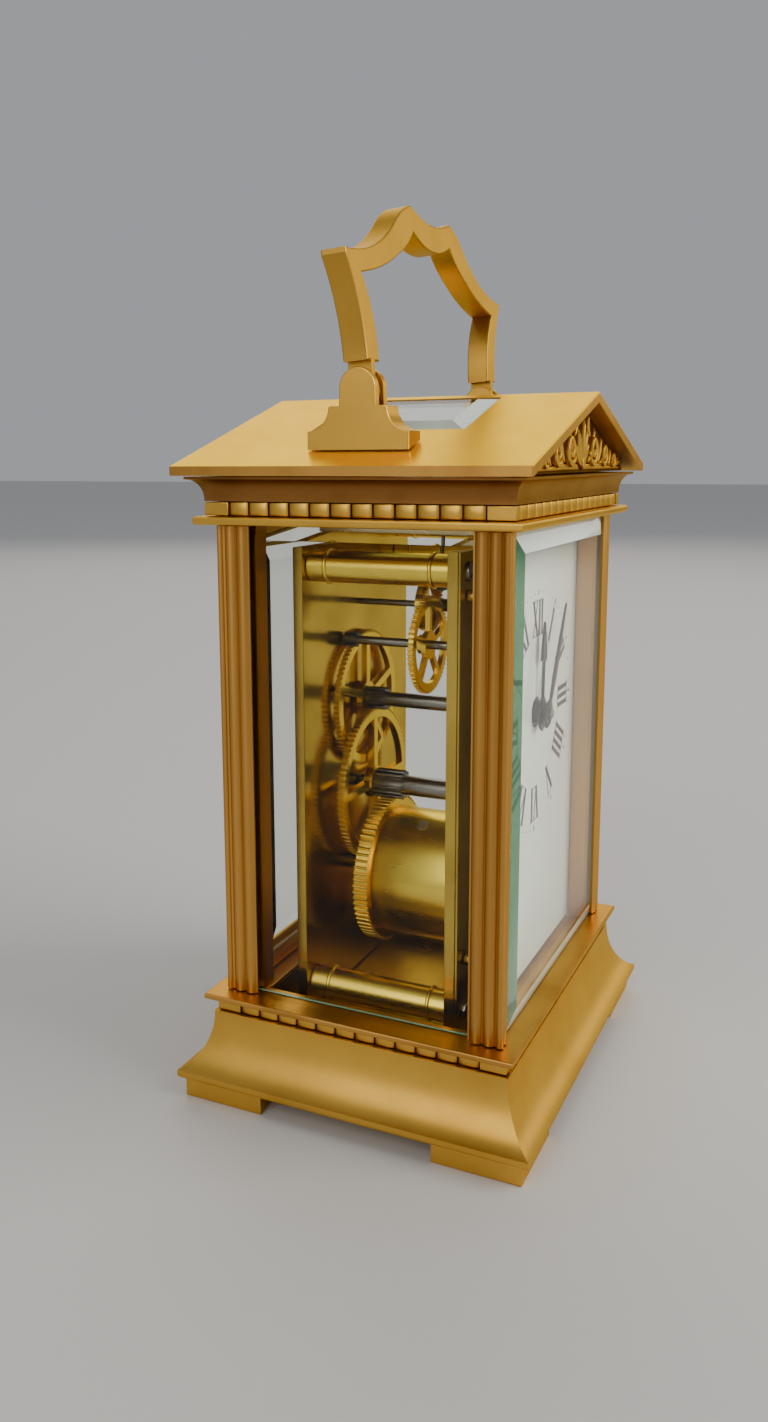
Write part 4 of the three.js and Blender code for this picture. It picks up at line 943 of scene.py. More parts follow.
def make_door():
    """The framed rear door with its hinge pins, its glass and its knob."""
    low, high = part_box("door_frame")
    bottom, top = low.z + 1 * MM, high.z - 1 * MM
    inner, outer = low.y, high.y
    hinge = joint_at["door_swing"]
    half_x, open_x, rail, lap, past = high.x, 25.6 * MM, 5.5 * MM, 1.7 * MM, 0.01
    edge = arc(hinge.x, hinge.y, (outer - inner) / 2, -90, 90, 16)
    section = [(-half_x, inner), (hinge.x, inner)] + edge + [(-half_x, outer)]
    frame_piece = sheet_metal("door_frame_fine", [section], bottom, top, "XY", GILT, 0.25 * MM)
    tools = []
    for grow, back in ((0, outer + past), (lap, inner + 1.9 * MM)):
        tool_low = (-open_x - grow, inner - past, bottom + rail - grow)
        tool_high = (open_x + grow, back, top - rail + grow)
        tools.append(block("tool_open", tool_low, tool_high, GILT, 0))
    carve(frame_piece, *tools)
    parts = [frame_piece]
    pin, tip, ease, overlap = 0.8 * MM, 0.6 * MM, 0.15 * MM, 0.2 * MM
    for z0, z1 in ((low.z, bottom + overlap), (top - overlap, high.z)):
        profile = [(0, z0), (tip, z0), (pin, z0 + ease), (pin, z1), (0, z1)]
        parts.append(turned("door_pin", profile, GILT, "Z", (hinge.x, hinge.y, 0), 20))
    stands_for(merged("door_frame_fine_all", parts), "door", "door_frame")
    low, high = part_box("door_glass")
    measures = (high.x, (high.z - low.z) / 2, high.y - low.y, 0.7 * MM, 4.4 * MM, 4.4 * MM)
    pane = glass_pane("door_glass_fine", *measures)
    stand = Matrix.Rotation(-math.pi / 2, 4, "X")
    pane.data.transform(Matrix.Translation((0, low.y, (high.z + low.z) / 2)) @ stand)
    stands_for(pane, "door", "door_glass")
    low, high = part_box("door_knob")
    profile = [(radius * MM, -(y * MM)) for radius, y in reversed(KNOB_PROFILE)]
    knob = turned("door_knob_fine", profile, GILT, "Y", (0, 0, 0), 40)
    at = ((low.x + high.x) / 2, low.y, (low.z + high.z) / 2)
    knob.data.transform(Matrix.Translation(at) @ Matrix.Rotation(math.pi, 4, "Z"))
    stands_for(knob, "door", "door_knob")


# ---- Dial and hands -----------------------------------------------------------------------------------
dial_low, dial_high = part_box("dial")
CENTRE = joint_at["centre_turn"]
DIAL_FACE = dial_low.y
NUMERAL_OUTER, NUMERAL_INNER, MINUTE_RING = 25.1 * MM, 17.3 * MM, 26.9 * MM
NUMERALS = ("XII", "I", "II", "III", "IIII", "V", "VI", "VII", "VIII", "IX", "X", "XI")


def numeral_strokes(text):
    """Strokes of a Roman numeral as (x at foot, x at head, half width), in units of the stroke pitch."""
    strokes = []
    cursor = 0.0
    for letter in text:
        if letter == "I":
            strokes.append((cursor + 0.5, cursor + 0.5, 0.28))
            cursor += 1.0
        elif letter == "V":
            strokes.append((cursor + 1.0, cursor + 0.25, 0.3))
            strokes.append((cursor + 1.0, cursor + 1.75, 0.11))
            cursor += 2.1
        else:
            strokes.append((cursor + 1.75, cursor + 0.25, 0.3))
            strokes.append((cursor + 0.25, cursor + 1.75, 0.11))
            cursor += 2.1
    return [(foot - cursor / 2, head - cursor / 2, half) for foot, head, half in strokes]


def make_dial():
    """The enamel plate on its feet, with painted numerals and a ring of minute dots."""
    outline = rectangle(-dial_high.x, dial_low.z, dial_high.x, dial_high.z)
    hole = circle(3.3 * MM, 32, CENTRE.x, CENTRE.z)
    back = DIAL_FACE + 1.6 * MM
    parts = [sheet_metal("dial_plate", [outline, hole], DIAL_FACE, back, "XZ", ENAMEL, 0.3 * MM)]
    foot, foot_front = 1.5 * MM, DIAL_FACE + 1.3 * MM
    profile = [(0, foot_front), (foot, foot_front), (foot, dial_high.y), (0, dial_high.y)]
    for x in (-24, 24):
        for z in (34, 112):
            parts.append(turned("dial_foot", profile, PLATE_BRASS, "Y", (x * MM, 0, z * MM), 20))
    ink_depth, pitch, serif = 0.05 * MM, 1.95 * MM, 0.11 * MM

    def ink(outline):
        span = (DIAL_FACE - ink_depth, DIAL_FACE + ink_depth)
        parts.append(sheet_metal("ink", [outline], *span, "XZ", NUMERAL_BLACK, 0.004 * MM))

    def dial_point(across, radius, angle):
        """A point at a radius on the hour line at an angle clockwise from twelve, shifted sideways."""
        x = radius * math.sin(angle) + across * math.cos(angle)
        z = radius * math.cos(angle) - across * math.sin(angle)
        return (CENTRE.x + x, CENTRE.z + z)

    def mark(angle, inner, inner_sides, outer, outer_sides):
        """A four-cornered mark between two radii; the sides are (left, right)."""
        corners = [(across, inner) for across in inner_sides]
        corners += [(across, outer) for across in reversed(outer_sides)]
        ink([dial_point(across, radius, angle) for across, radius in corners])

    for hour, text in enumerate(NUMERALS):
        angle = math.radians(30 * hour)
        strokes = numeral_strokes(text)
        for foot_x, head_x, half in strokes:
            ends = [[(x + way * half) * pitch for way in (-1, 1)] for x in (foot_x, head_x)]
            mark(angle, NUMERAL_INNER, ends[0], NUMERAL_OUTER, ends[1])
        for radius, end in ((NUMERAL_INNER, 0), (NUMERAL_OUTER, 1)):
            places = [stroke[end] for stroke in strokes]
            width = ((min(places) - 0.4) * pitch, (max(places) + 0.4) * pitch)
            mark(angle, radius - serif, width, radius + serif, width)
    for minute in range(60):
        angle = math.radians(6 * minute)
        if minute % 5:
            ink(circle(0.2 * MM, 10, *dial_point(0, MINUTE_RING, angle)))
        else:
            inner, outer = MINUTE_RING - 0.6 * MM, MINUTE_RING + 0.7 * MM
            mark(angle, inner, (-0.16 * MM, 0.16 * MM), outer, (-0.32 * MM, 0.32 * MM))
    stands_for(merged("dial_fine", parts), "case", "dial")


def hand_outline(boss, shaft, head_from, head_half, tip, pinch):
    """A hand pointing up from the centre: drop-shaped boss, slender shaft and leaf head."""
    right = [(0, -boss * 1.45)]
    right += bezier((0, -boss * 1.45), (boss * 1.1, -boss * 0.9), (boss, 0), 8)
    right += bezier((boss, 0), (boss * 0.8, boss * 0.9), (shaft, boss * 1.3), 8)
    right += [(shaft * pinch, head_from), (head_half, head_from + 0.4)]
    belly = (head_half * 0.7, (head_from + tip) / 2 + 1.5)
    right += bezier((head_half, head_from + 0.4), belly, (0, tip), 12)
    return in_mm(right + [(-x, y) for x, y in right[-2:0:-1]])


def make_hands():
    """Blued hands; each row ends with the bore in millimetres and the turn from twelve."""
    for node, body, shape, hole, turn_deg in (
            ("hour_hand", "hour", (2.9, 0.42, 11.4, 1.7, 20.4, 0.9), 2.7, 1.5),
            ("minute_hand", "centre", (2.4, 0.42, 7, 0.95, 26.5, 1.6), 1.7, 28.5)):
        low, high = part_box(node)
        loops = [hand_outline(*shape), circle(hole * MM, 28)]
        piece = sheet_metal(node + "_fine", loops, low.y, high.y, "XZ", BLUED, 0.14 * MM)
        turn = Matrix.Rotation(math.radians(turn_deg), 4, "Y")
        piece.data.transform(Matrix.Translation((CENTRE.x, 0, CENTRE.z)) @ turn)
        stands_for(piece, body, node)


# ---- Movement -----------------------------------------------------------------------------------------
PILLARS = ("top_left", "top_right", "bottom_left", "bottom_right")
# Radii of the bores in the plates, in millimetres, at the joints of the arbors.
PIVOT_HOLES = {"intermediate_turn": 0.95, "third_turn": 0.8, "contrate_turn": 0.8, "barrel_turn": 2.3}


def cut_at(name, loops, low, high, material, bevel, place, plane="XZ"):
    """A flat piece around a joint's axis: parallel to the plates or, in plane XY, to the platform."""
    at = (place.x, 0, place.z) if plane == "XZ" else (place.x, place.y, 0)
    return sheet_metal(name, loops, low, high, plane, material, bevel, at)


def turned_at(name, profile, material, place, sides=32, axis="Y"):
    """A piece turned about a joint's axis: along Y between the plates or along Z on the platform."""
    at = (place.x, 0, place.z) if axis == "Y" else (place.x, place.y, 0)
    return turned(name, profile, material, axis, at, sides)


def make_plates():
    """The front and back plates, bored for the arbors, with a screw at each pillar."""
    for node, centre_hole, facing in (("front_plate", 1.4, -1), ("back_plate", 1.2, 1)):
        low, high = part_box(node)
        loops = [rectangle(low.x, low.z, high.x, high.z)]
        for name, radius in {**PIVOT_HOLES, "centre_turn": centre_hole}.items():
            loops.append(circle(radius * MM, 24, joint_at[name].x, joint_at[name].z))
        parts = [sheet_metal(node + "_fine", loops, low.y, high.y, "XZ", PLATE_BRASS, 0.18 * MM)]
        outer = low.y if facing < 0 else high.y
        for corner in PILLARS:
            pillar_low, pillar_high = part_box(f"pillar_{corner}")
            centre = (pillar_low + pillar_high) / 2
            parts.append(screw("plate_screw", 2.1 * MM, (centre.x, outer, centre.z), facing, 35))
        stands_for(merged(node + "_set", parts), "case", node)


def screw(name, radius, at, facing, slot_deg):
    """A domed, slotted screw head that stands on a face looking along +Y or -Y."""
    rise, root = radius * 0.42, -0.1 * MM
    dome = [(radius * math.sin(a), rise * (0.55 + 0.45 * math.cos(a))) for a in (0.4, 0.8, 1.1, 1.4)]
    profile = [(0, rise)] + dome + [(radius, rise * 0.5), (radius, root), (0, root)]
    head = turned(name, profile, STEEL, "Z", (0, 0, 0), 32)
    slot_x, slot_y, slot_floor = radius * 1.2, radius * 0.13, rise * 0.55
    carve(head, block("tool_slot", (-slot_x, -slot_y, slot_floor), (slot_x, slot_y, rise * 2), STEEL, 0))
    crease(head, 40)
    stand = Matrix.Rotation(math.radians(-90 * facing), 4, "X")
    turn = Matrix.Rotation(math.radians(slot_deg), 4, "Z")
    head.data.transform(Matrix.Translation(at) @ (stand @ turn))
    return head


def make_pillars():
    """Turned pillars with a bead near each end."""
    neck, step, ease, bead = 4.4 * MM, 0.4 * MM, 0.2 * MM, 0.45 * MM
    for corner in PILLARS:
        node = f"pillar_{corner}"
        low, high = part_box(node)
        centre = (low + high) / 2
        radius = (high.x - low.x) / 2 - step
        profile = [(0, low.y), (radius - ease, low.y), (radius, low.y + ease)]
        for y in (low.y + neck, high.y - neck):
            swell = [(step * math.sin(a), bead * math.cos(a)) for a in (0.5, 1.0, 1.57, 2.1, 2.6)]
            profile.append((radius, y - bead))
            profile += [(radius + out, y - along) for out, along in swell]
            profile.append((radius, y + bead))
        profile += [(radius, high.y - ease), (radius - ease, high.y), (0, high.y)]
        stands_for(turned_at(node + "_fine", profile, DRUM_BRASS, centre, 48), "case", node)


def tooth_outline(teeth, module, phase_deg, fullness=0.42):
    """Cycloid-like teeth with rounded tips, a tooth pointing at phase_deg; the module is in millimetres."""
    pitch_radius = teeth * module / 2
    pitch = 2 * math.pi / teeth
    half = pitch * fullness / 2
    root, tip = pitch_radius - 1.25 * module, pitch_radius + 0.42 * module
    shape = [(root, -half * 1.05), (pitch_radius - 0.1 * module, -half)]
    shape += [(tip - 0.14 * module, -half * 0.55), (tip, 0)]
    shape += [(radius, -turn) for radius, turn in shape[-2::-1]]
    points = []
    for tooth in range(teeth):
        centre = math.radians(phase_deg) + tooth * pitch
        points += [polar(radius, centre + turn) for radius, turn in shape]
    return in_mm(points)


def arm_windows(arms, hub, rim, arm_width):
    """The openings between the arms of a wheel; the first arm is at 90 degrees."""
    windows = []
    inset_rim, inset_hub = (math.asin(arm_width / 2 / radius) for radius in (rim, hub))
    for arm in range(arms):
        start = math.pi / 2 + arm * 2 * math.pi / arms
        end = start + 2 * math.pi / arms
        outer = arc(0, 0, rim, math.degrees(start + inset_rim), math.degrees(end - inset_rim), 14)
        inner = arc(0, 0, hub, math.degrees(end - inset_hub), math.degrees(start + inset_hub), 6)
        windows.append(outer + inner)
    return windows


def gear(body, teeth, module, phase_deg, arms, bore, arm_width=1.7):
    """A crossed-out wheel with a bored hub; bore and arm width are in millimetres."""
    node = f"{body}_wheel"
    low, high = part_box(node)
    rim = (teeth * module / 2 - 2.3 * math.sqrt(module / 0.4)) * MM
    loops = [tooth_outline(teeth, module, phase_deg)]
    loops += arm_windows(arms, (bore + 2.2) * MM, rim, arm_width * MM)
    loops.append(circle(bore * MM, 24))
    place = joint_at[f"{body}_turn"]
    wheel = cut_at(node + "_fine", loops, low.y, high.y, WHEEL_BRASS, 0.05 * MM, place)
    stands_for(wheel, body, node)


def arbor(body, radii, leaves, module, phase_deg, pinion_span, collet):
    """A turned steel arbor: pivots, a stout part up to its pinion, a slimmer part behind it, and a collet.

    Radii are (pivot, slim, stout) and the collet is (start, end, radius, material), in millimetres.
    """
    node, place = f"{body}_arbor", joint_at[f"{body}_turn"]
    low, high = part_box(node)
    front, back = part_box("front_plate")[1].y + 0.3 * MM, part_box("back_plate")[0].y - 0.3 * MM
    pivot, slim, stout = (value * MM for value in radii)
    ease, tip_ease = 0.25 * MM, 0.1 * MM
    y0, y1 = (value * MM for value in pinion_span)
    profile = [
        (0, low.y), (pivot - tip_ease, low.y), (pivot, low.y + tip_ease), (pivot, front),
        (stout - ease, front), (stout, front + ease), (stout, y0 + ease), (slim, y1),
        (slim, back - ease), (slim - ease, back), (pivot, back), (pivot, high.y - tip_ease),
        (pivot - tip_ease, high.y), (0, high.y)]
    rod = turned_at(node + "_rod", profile, STEEL, place)
    loop = tooth_outline(leaves, module, phase_deg, 0.4)
    pinion = cut_at(node + "_pinion", [loop], y0, y1, STEEL, 0.06 * MM, place)
    start, end, radius = (value * MM for value in collet[:3])
    ring = [
        (pivot, start), (radius - ease, start), (radius, start + ease), (radius, end - ease),
        (radius - ease, end), (pivot, end)]
    collar = turned_at(node + "_collet", ring, collet[3], place)
    stands_for(merged(node + "_fine", [rod, pinion, collar]), body, node)


def pinion_phase(bearing, leaves):
    """The phase that turns a gap between two leaves towards the wheel that drives them."""
    return bearing + 180 + 180 / leaves


THIRD_BEARING, CONTRATE_BEARING, MOTION_BEARING = 120.3, 39, 215


def make_barrel():
    """The going barrel: great wheel, drum with a turned rim, and the end of the mainspring hook."""
    place = joint_at["barrel_turn"]
    low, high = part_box("barrel")
    front, wheel_front, back = low.y, 8 * MM, 8.2 * MM
    radius, bore, recess, chamfer = 14.9 * MM, 2.3 * MM, 0.5 * MM, 0.3 * MM
    loops = [tooth_outline(74, 0.47, 90), circle(bore, 24)]
    teeth = cut_at("great_wheel", loops, wheel_front, high.y, WHEEL_BRASS, 0.08 * MM, place)
    profile = [
        (bore, front), (4.4 * MM, front), (4.6 * MM, front + recess), (radius - 2.2 * MM, front + recess),
        (radius - 2.0 * MM, front), (radius - chamfer, front), (radius, front + chamfer),
        (radius, wheel_front - 0.6 * MM), (radius - 0.4 * MM, back), (bore, back), (bore, front)]
    drum = turned_at("barrel_drum", profile, DRUM_BRASS, place, 96)
    eye, eye_y, eye_deg = 1.7 * MM, -1.3 * MM, -24
    shell = [(0, radius - 0.2 * MM), (eye, radius - 0.2 * MM)]
    shell += [(eye * 0.97, radius - 0.02 * MM), (0, radius + 0.04 * MM)]
    hook = turned("barrel_hook_end", shell, SILVERED, "Z", (0, 0, 0), 32)
    turn = Matrix.Rotation(math.radians(eye_deg), 4, "Y")
    hook.data.transform(Matrix.Translation((place.x, eye_y, place.z)) @ turn)
    stands_for(merged("barrel_fine", [teeth, drum, hook]), "barrel", "barrel")


def make_winding():
    """The barrel arbor with its winding square, the ratchet wheel and the click."""
    place = joint_at["winding_turn"]
    low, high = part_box("barrel_arbor")
    side = 1.9 * MM / math.sqrt(2)
    profile = [(0, low.y), (1.9 * MM, low.y), (2 * MM, low.y + 0.1 * MM), (2 * MM, 21.6 * MM)]
    profile += [(1.6 * MM, 22 * MM), (0, 22 * MM)]
    rod = turned_at("winding_rod", profile, STEEL, place)
    square_low = (place.x - side, 21.5 * MM, place.z - side)
    square_high = (place.x + side, high.y, place.z + side)
    square = block("winding_square", square_low, square_high, STEEL, 0.2 * MM)
    stands_for(merged("winding_arbor_fine", [rod, square]), "winding", "barrel_arbor")
    points = []
    for tooth in range(18):
        a = tooth * 2 * math.pi / 18
        points += [polar(7 * MM, a), polar(6.1 * MM, a + 0.03)]
    low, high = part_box("ratchet_wheel")
    loops = [points, circle(2.3 * MM, 24)]
    wheel = cut_at("ratchet_fine", loops, low.y, high.y, STEEL, 0.08 * MM, place)
    stands_for(wheel, "winding", "ratchet_wheel")
    pivot, front = joint_at["click_lift"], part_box("click")[0].y
    top = front + 1.2 * MM
    blade = in_mm([(-1.9, 0.4), (-0.6, -2), (4.3, -2.6), (3.6, -0.9), (1.2, 1.4)])
    click = cut_at("click_blade", [blade], front, top, STEEL, 0.12 * MM, pivot)
    head = screw("click_screw", 1.9 * MM, (pivot.x, top, pivot.z), 1, 60)
    stands_for(merged("click_fine", [click, head]), "click", "click")


def make_train():
    """Wheels and arbors from the intermediate wheel to the contrate wheel."""
    gear("intermediate", 86, 0.42, 90, 4, 1.6, 2)
    arbor("intermediate", (0.8, 1.5, 2.35), 14, 0.47, pinion_phase(90, 14), (5.6, 12.9),
          (12.95, 13.15, 3.4, WHEEL_BRASS))
    gear("centre", 80, 0.4, THIRD_BEARING, 5, 1.6)
    arbor("centre", (1, 1.5, 1.75), 12, 0.42, pinion_phase(90, 12), (10.4, 15), (-14.4, -12.6, 2.3, STEEL))
    gear("third", 60, 0.36, CONTRATE_BEARING, 5, 1.05, 1.2)
    arbor("third", (0.6, 0.95, 1), 8, 0.4, pinion_phase(THIRD_BEARING, 8), (13.6, 17),
          (-2.95, -1.4, 2.2, WHEEL_BRASS))
    arbor("contrate", (0.6, 0.75, 0.8), 8, 0.36, pinion_phase(CONTRATE_BEARING, 8), (-5, -1.2),
          (1.25, 2.6, 1.7, WHEEL_BRASS))
    make_contrate_wheel()


def make_contrate_wheel():
    """A crossed-out wheel whose teeth stand forward from its rim."""
    place = joint_at["contrate_turn"]
    low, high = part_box("contrate_wheel")
    outer, inner, teeth, half = 6.2 * MM, 5.1 * MM, 48, 0.19 * MM
    web_front, root, flank = high.y - 1 * MM, low.y + 0.75 * MM, low.y + 0.2 * MM
    web = [circle(outer, 64)] + arm_windows(4, 1.9 * MM, 4.5 * MM, 1.1 * MM) + [circle(0.85 * MM, 20)]
    band, band_span = [circle(outer, 64), circle(inner, 48)], (low.y + 0.7 * MM, web_front + 0.1 * MM)
    parts = [
        cut_at("contrate_web", web, web_front, high.y, WHEEL_BRASS, 0.06 * MM, place),
        cut_at("contrate_band", band, *band_span, WHEEL_BRASS, 0.04 * MM, place)]
    profile = [(-half, root), (-half * 0.8, flank), (0, low.y), (half * 0.8, flank), (half, root)]
    for tooth in range(teeth):
        a = tooth * 2 * math.pi / teeth
        bm = bmesh.new()
        rows = []
        for radius in (inner + 0.05 * MM, outer - 0.02 * MM):
            row = [(polar(radius, a), u, y) for u, y in profile]
            row = [(x - u * math.sin(a), y, z + u * math.cos(a)) for (x, z), u, y in row]
            rows.append([bm.verts.new(point) for point in row])
        close_rows(bm, rows)
        bmesh.ops.translate(bm, vec=(place.x, 0, place.z), verts=bm.verts)
        parts.append(from_bmesh("contrate_tooth", bm, WHEEL_BRASS, 40))
    stands_for(merged("contrate_wheel_fine", parts), "contrate", "contrate_wheel")


def make_motion_work():
    """Cannon pinion, minute wheel and hour wheel, between the front plate and the dial."""
    centre, idler = joint_at["centre_turn"], joint_at["motion_idler_turn"]

    def leaves(name, teeth, module, phase_deg, y0, y1, bore, place, material):
        loops = [tooth_outline(teeth, module, phase_deg), circle(bore * MM, 24)]
        return cut_at(name, loops, y0 * MM, y1 * MM, material, 0.05 * MM, place)

    def pipe(name, inner, outer, y0, y1):
        profile = [(inner, y0), (outer, y0), (outer, y1), (inner, y1), (inner, y0)]
        return turned_at(name, in_mm(profile), BLUED, centre)

    cannon = [
        leaves("cannon_leaves", 12, 0.36, MOTION_BEARING, -19.9, -17.9, 1.15, centre, STEEL),
        pipe("cannon_pipe", 1.15, 1.6, -27.4, -19.8)]
    stands_for(merged("cannon_fine", cannon), "centre", "cannon_pinion")
    wheel_phase, leaf_phase = pinion_phase(MOTION_BEARING, 36), MOTION_BEARING + 180
    minute = [
        leaves("minute_teeth", 36, 0.36, wheel_phase, -19.3, -18.1, 0.75, idler, WHEEL_BRASS),
        leaves("minute_leaves", 10, 0.3456, leaf_phase, -22, -19.2, 0.75, idler, STEEL)]
    stands_for(merged("minute_wheel_fine", minute), "motion_idler", "minute_wheel")
    hour_phase = MOTION_BEARING + 180 / 40
    hour = [
        leaves("hour_teeth", 40, 0.3456, hour_phase, -21.8, -20.8, 1.95, centre, WHEEL_BRASS),
        pipe("hour_pipe", 1.95, 2.6, -26.1, -21)]
    stands_for(merged("hour_wheel_fine", hour), "hour", "hour_wheel")


def make_platform():
    """The escapement platform with its screws, the balance and cock, the escape wheel and the lever."""
    low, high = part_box("platform")
    escape, lever, balance = (joint_at[name] for name in ("escape_turn", "lever_swing", "balance_swing"))
    loops = [rectangle(low.x, low.y, high.x, high.y)]
    for place, radius, sides in ((escape, 1.9, 28), (lever, 0.6, 16), (balance, 0.6, 16)):
        loops.append(circle(radius * MM, sides, place.x, place.y))
    parts = [sheet_metal("platform_plate", loops, low.z, high.z, "XY", SILVERED, 0.2 * MM)]
    inset_x, inset_y = 3 * MM, 1.4 * MM
    upward = Matrix.Rotation(math.pi / 2, 4, "X")
    for x in (low.x + inset_x, high.x - inset_x):
        for y in (low.y + inset_y, high.y - inset_y):
            head = screw("platform_screw", 1.3 * MM, (0, 0, 0), 1, 20)
            head.data.transform(Matrix.Translation((x, y, high.z)) @ upward)
            parts.append(head)
    stands_for(merged("platform_fine", parts), "case", "platform")
    make_balance(balance)
    make_cock(balance)
    make_escape(escape)
    make_lever(lever)


def make_balance(place):
    """The balance: a two-armed rim with timing screws on a staff."""
    low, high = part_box("balance_wheel")
    loops = [circle(5.6 * MM, 72)] + arm_windows(2, 1.1 * MM, 4.8 * MM, 1 * MM)
    rim = cut_at("balance_rim", loops, 125.4 * MM, 126.3 * MM, WHEEL_BRASS, 0.12 * MM, place, "XY")
    pivot, staff = 0.15 * MM, 0.4 * MM
    profile = [(0, low.z), (pivot, low.z + 0.1 * MM), (staff, low.z + 0.9 * MM)]
    profile += [(staff, high.z - 0.7 * MM), (pivot, high.z - 0.1 * MM), (0, high.z)]
    parts = [rim, turned_at("balance_staff", profile, STEEL, place, 20, "Z")]
    head = in_mm([(0, 126.6), (0.26, 126.55), (0.3, 126.25), (0, 126.25)])
    for index in range(12):
        at = polar(5.25 * MM, math.radians(15 + 30 * index), place.x, place.y)
        parts.append(turned("balance_screw", head, WHEEL_BRASS, "Z", (*at, 0), 12))
    stands_for(merged("balance_fine", parts), "balance", "balance_wheel")


def make_cock(place):
    """The bridge over the balance: a round-headed arm on a square post."""
    low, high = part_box("balance_cock")
    tail = [(place.x - 6.6 * MM, place.y + 8.6 * MM), (place.x - 10.2 * MM, place.y + 5 * MM)]
    loops = [arc(place.x, place.y, 2.6 * MM, -135, 45, 18) + tail, circle(0.6 * MM, 16, place.x, place.y)]
    arm = sheet_metal("cock_arm", loops, 127 * MM, high.z, "XY", SILVERED, 0.18 * MM)
    x, y, half = place.x - 8.3 * MM, place.y + 6.5 * MM, 1.3 * MM
    post_low, post_high = (x - half, y - half, low.z), (x + half, y + half, 127.4 * MM)
    post = block("cock_post", post_low, post_high, SILVERED, 0.15 * MM)
    stands_for(merged("balance_cock_fine", [arm, post]), "case", "balance_cock")


def make_escape(place):
    """The escape wheel: hooked teeth, arms, a long rod and a pinion low on it."""
    low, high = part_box("escape_wheel")
    points = []
    for tooth in range(15):
        a = tooth * 2 * math.pi / 15
        for radius, turn in ((3.5, 0), (2.7, 0.05), (2.6, 0.14), (2.65, 0.3)):
            points.append(polar(radius * MM, a + turn))
    loops = [points] + arm_windows(4, 0.95 * MM, 2.1 * MM, 0.5 * MM)
    disc = cut_at("escape_disc", loops, 123.8 * MM, 124.3 * MM, STEEL, 0.05 * MM, place, "XY")
    radius, ease = 0.45 * MM, 0.2 * MM
    profile = [(0, low.z), (radius, low.z + ease), (radius, high.z - ease), (0, high.z)]
    rod = turned_at("escape_rod", profile, STEEL, place, 20, "Z")
    leaves = [tooth_outline(6, 0.36, 0, 0.4)]
    pinion = cut_at("escape_pinion", leaves, 110 * MM, 112.8 * MM, STEEL, 0.04 * MM, place, "XY")
    stands_for(merged("escape_fine", [disc, rod, pinion]), "escape", "escape_wheel")


def make_lever(place):
    """The lever: one long arm, two pallet arms and a staff."""
    low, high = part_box("lever")
    body = [(-3.4, -0.9), (-0.7, -0.7), (1.6, -2.6), (2.3, -2.1), (1, 0.6)]
    body += [(2.2, 3.4), (1.5, 3.8), (0.1, 1), (-0.9, 0.9), (-3.7, -0.2)]
    arms = cut_at("lever_arms", [in_mm(body)], 123.8 * MM, 124.2 * MM, STEEL, 0.06 * MM, place, "XY")
    radius, ease = 0.4 * MM, 0.2 * MM
    profile = [(0, low.z), (radius, low.z + ease), (radius, high.z - ease), (0, high.z)]
    staff = turned_at("lever_staff", profile, STEEL, place, 16, "Z")
    stands_for(merged("lever_fine", [arms, staff]), "lever", "lever")


def make_floor_details():
    """Two countersunk holes in the floor of the case, under the movement: a brass rim round a thin dark disc
    that is painted shade for the depth of the hole.
    """
    rim = in_mm([(0.9, 0.02), (1.05, 0.06), (1.55, 0.06), (1.65, 0.0), (0.9, 0.0), (0.9, 0.02)])
    dark = in_mm([(0, 0), (1.0, 0), (1.0, 0.03), (0, 0.03)])
    parts = []
    for x, y in ((14.7, 5.8), (-5.6, 11.8)):
        at = (x * MM, y * MM, FLOOR_TOP)
        parts.append(turned("floor_rim", rim, PLATE_BRASS, "Z", at, 36))
        # The dark disc is painted shade in place of the hole's depth.
        parts.append(turned("floor_hole", dark, HOLE_SHADE, "Z", at, 36))
    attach(merged("floor_holes", parts), "case")


make_base()
make_feet()
gadroon_strip("base_gadroon_fine", "base_gadroon", (OPEN_X, OPEN_Y))
gadroon_strip("frieze_fine", "frieze_gadroon", (TOP_OPEN_X, TOP_OPEN_Y))
# The plinth takes the darker gilt as painted shade.
flat_frame("plinth_fine", "plinth_plate", (OPEN_X, OPEN_Y), SHADED_GILT)
flat_frame("architrave_fine", "architrave", (TOP_OPEN_X, TOP_OPEN_Y), bevel=0.5 * MM)
make_crown()
make_columns()
make_roof()
make_gable("gable_front_fine", "gable_front", -1)
make_gable("gable_rear_fine", "gable_rear", 1)
make_roof_glasses()
make_side_and_front_glasses()
make_handle_blocks()
make_handle()
make_door()
make_dial()
make_hands()
make_plates()
make_pillars()
make_barrel()
make_winding()
make_train()
make_motion_work()
make_platform()
make_floor_details()


# ---- Floor, light and camera --------------------------------------------------------------------------
def make_stage():
    """A plain pale floor."""
    floor_half = 6
    material = new_material("floor", (0.60, 0.59, 0.58), 0.6, 0)[0]
    bm = bmesh.new()
    bmesh.ops.create_grid(bm, x_segments=1, y_segments=1, size=floor_half)
    mesh = bpy.data.meshes.new("floor")
    bm.to_mesh(mesh)
    bm.free()
    mesh.materials.append(material)
    floor = bpy.data.objects.new("floor", mesh)
    link(floor)


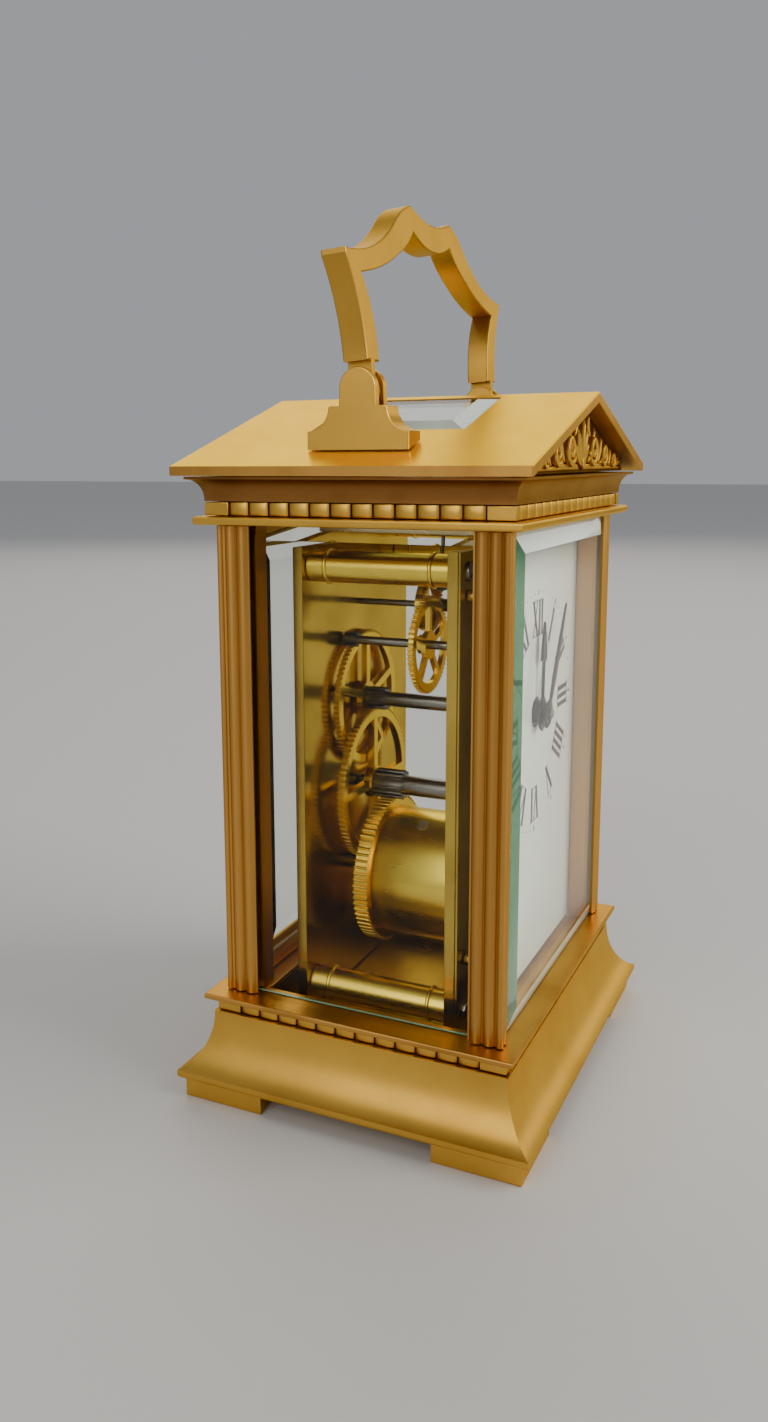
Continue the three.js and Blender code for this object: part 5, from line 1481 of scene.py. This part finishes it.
def area_light(name, at, target, size, power, colour):
    """A rectangular lamp facing a target; sizes in metres, power in watts."""
    data = bpy.data.lights.new(name, "AREA")
    data.shape = "RECTANGLE"
    data.size, data.size_y = size
    data.energy = power
    data.color = colour
    light = bpy.data.objects.new(name, data)
    light.location = at
    light.rotation_mode = "QUATERNION"
    light.rotation_quaternion = (Vector(target) - Vector(at)).to_track_quat("-Z", "Y")
    link(light)


def make_light():
    """A pale even room and four soft lamps."""
    world = bpy.data.worlds.new("studio")
    bpy.context.scene.world = world
    world.use_nodes = True
    background = world.node_tree.nodes["Background"]
    background.inputs["Color"].default_value = (0.84, 0.87, 0.92, 1)
    background.inputs["Strength"].default_value = 0.42
    middle = (0, 0, 0.1)
    area_light("front", (0.2, -1.1, 0.75), middle, (0.9, 0.9), 14, (1, 0.95, 0.86))
    area_light("side", (-1.0, 0.1, 0.6), middle, (0.6, 0.9), 4.4, (1, 0.96, 0.88))
    area_light("over", (1.15, 0.6, 0.9), middle, (1.4, 1.1), 6.5, (1, 0.95, 0.85))
    area_light("right", (1.1, -0.6, 0.42), middle, (0.8, 0.4), 1.2, (1, 0.94, 0.84))


CAMERA_AT = Vector((-240.03, -95.72, 139.54)) * MM
CAMERA_FORWARD = Vector((0.89039, 0.42366, -0.16650))
CAMERA_ROLL_DEG = -0.28
CAMERA_LENS, CAMERA_SHIFT = 28.63, (0.0191, -0.0428)


def make_camera():
    """The photograph's viewpoint."""
    data = bpy.data.cameras.new("camera")
    camera = bpy.data.objects.new("camera", data)
    link(camera)
    data.sensor_width = 36
    data.lens = CAMERA_LENS
    data.shift_x, data.shift_y = CAMERA_SHIFT
    data.clip_start, data.clip_end = 0.01, 50
    camera.location = CAMERA_AT
    camera.rotation_mode = "QUATERNION"
    aim = CAMERA_FORWARD.to_track_quat("-Z", "Y").to_matrix().to_4x4()
    roll = Matrix.Rotation(math.radians(CAMERA_ROLL_DEG), 4, "Z")
    camera.rotation_quaternion = (aim @ roll).to_quaternion()
    bpy.context.scene.camera = camera


make_stage()
make_light()
make_camera()
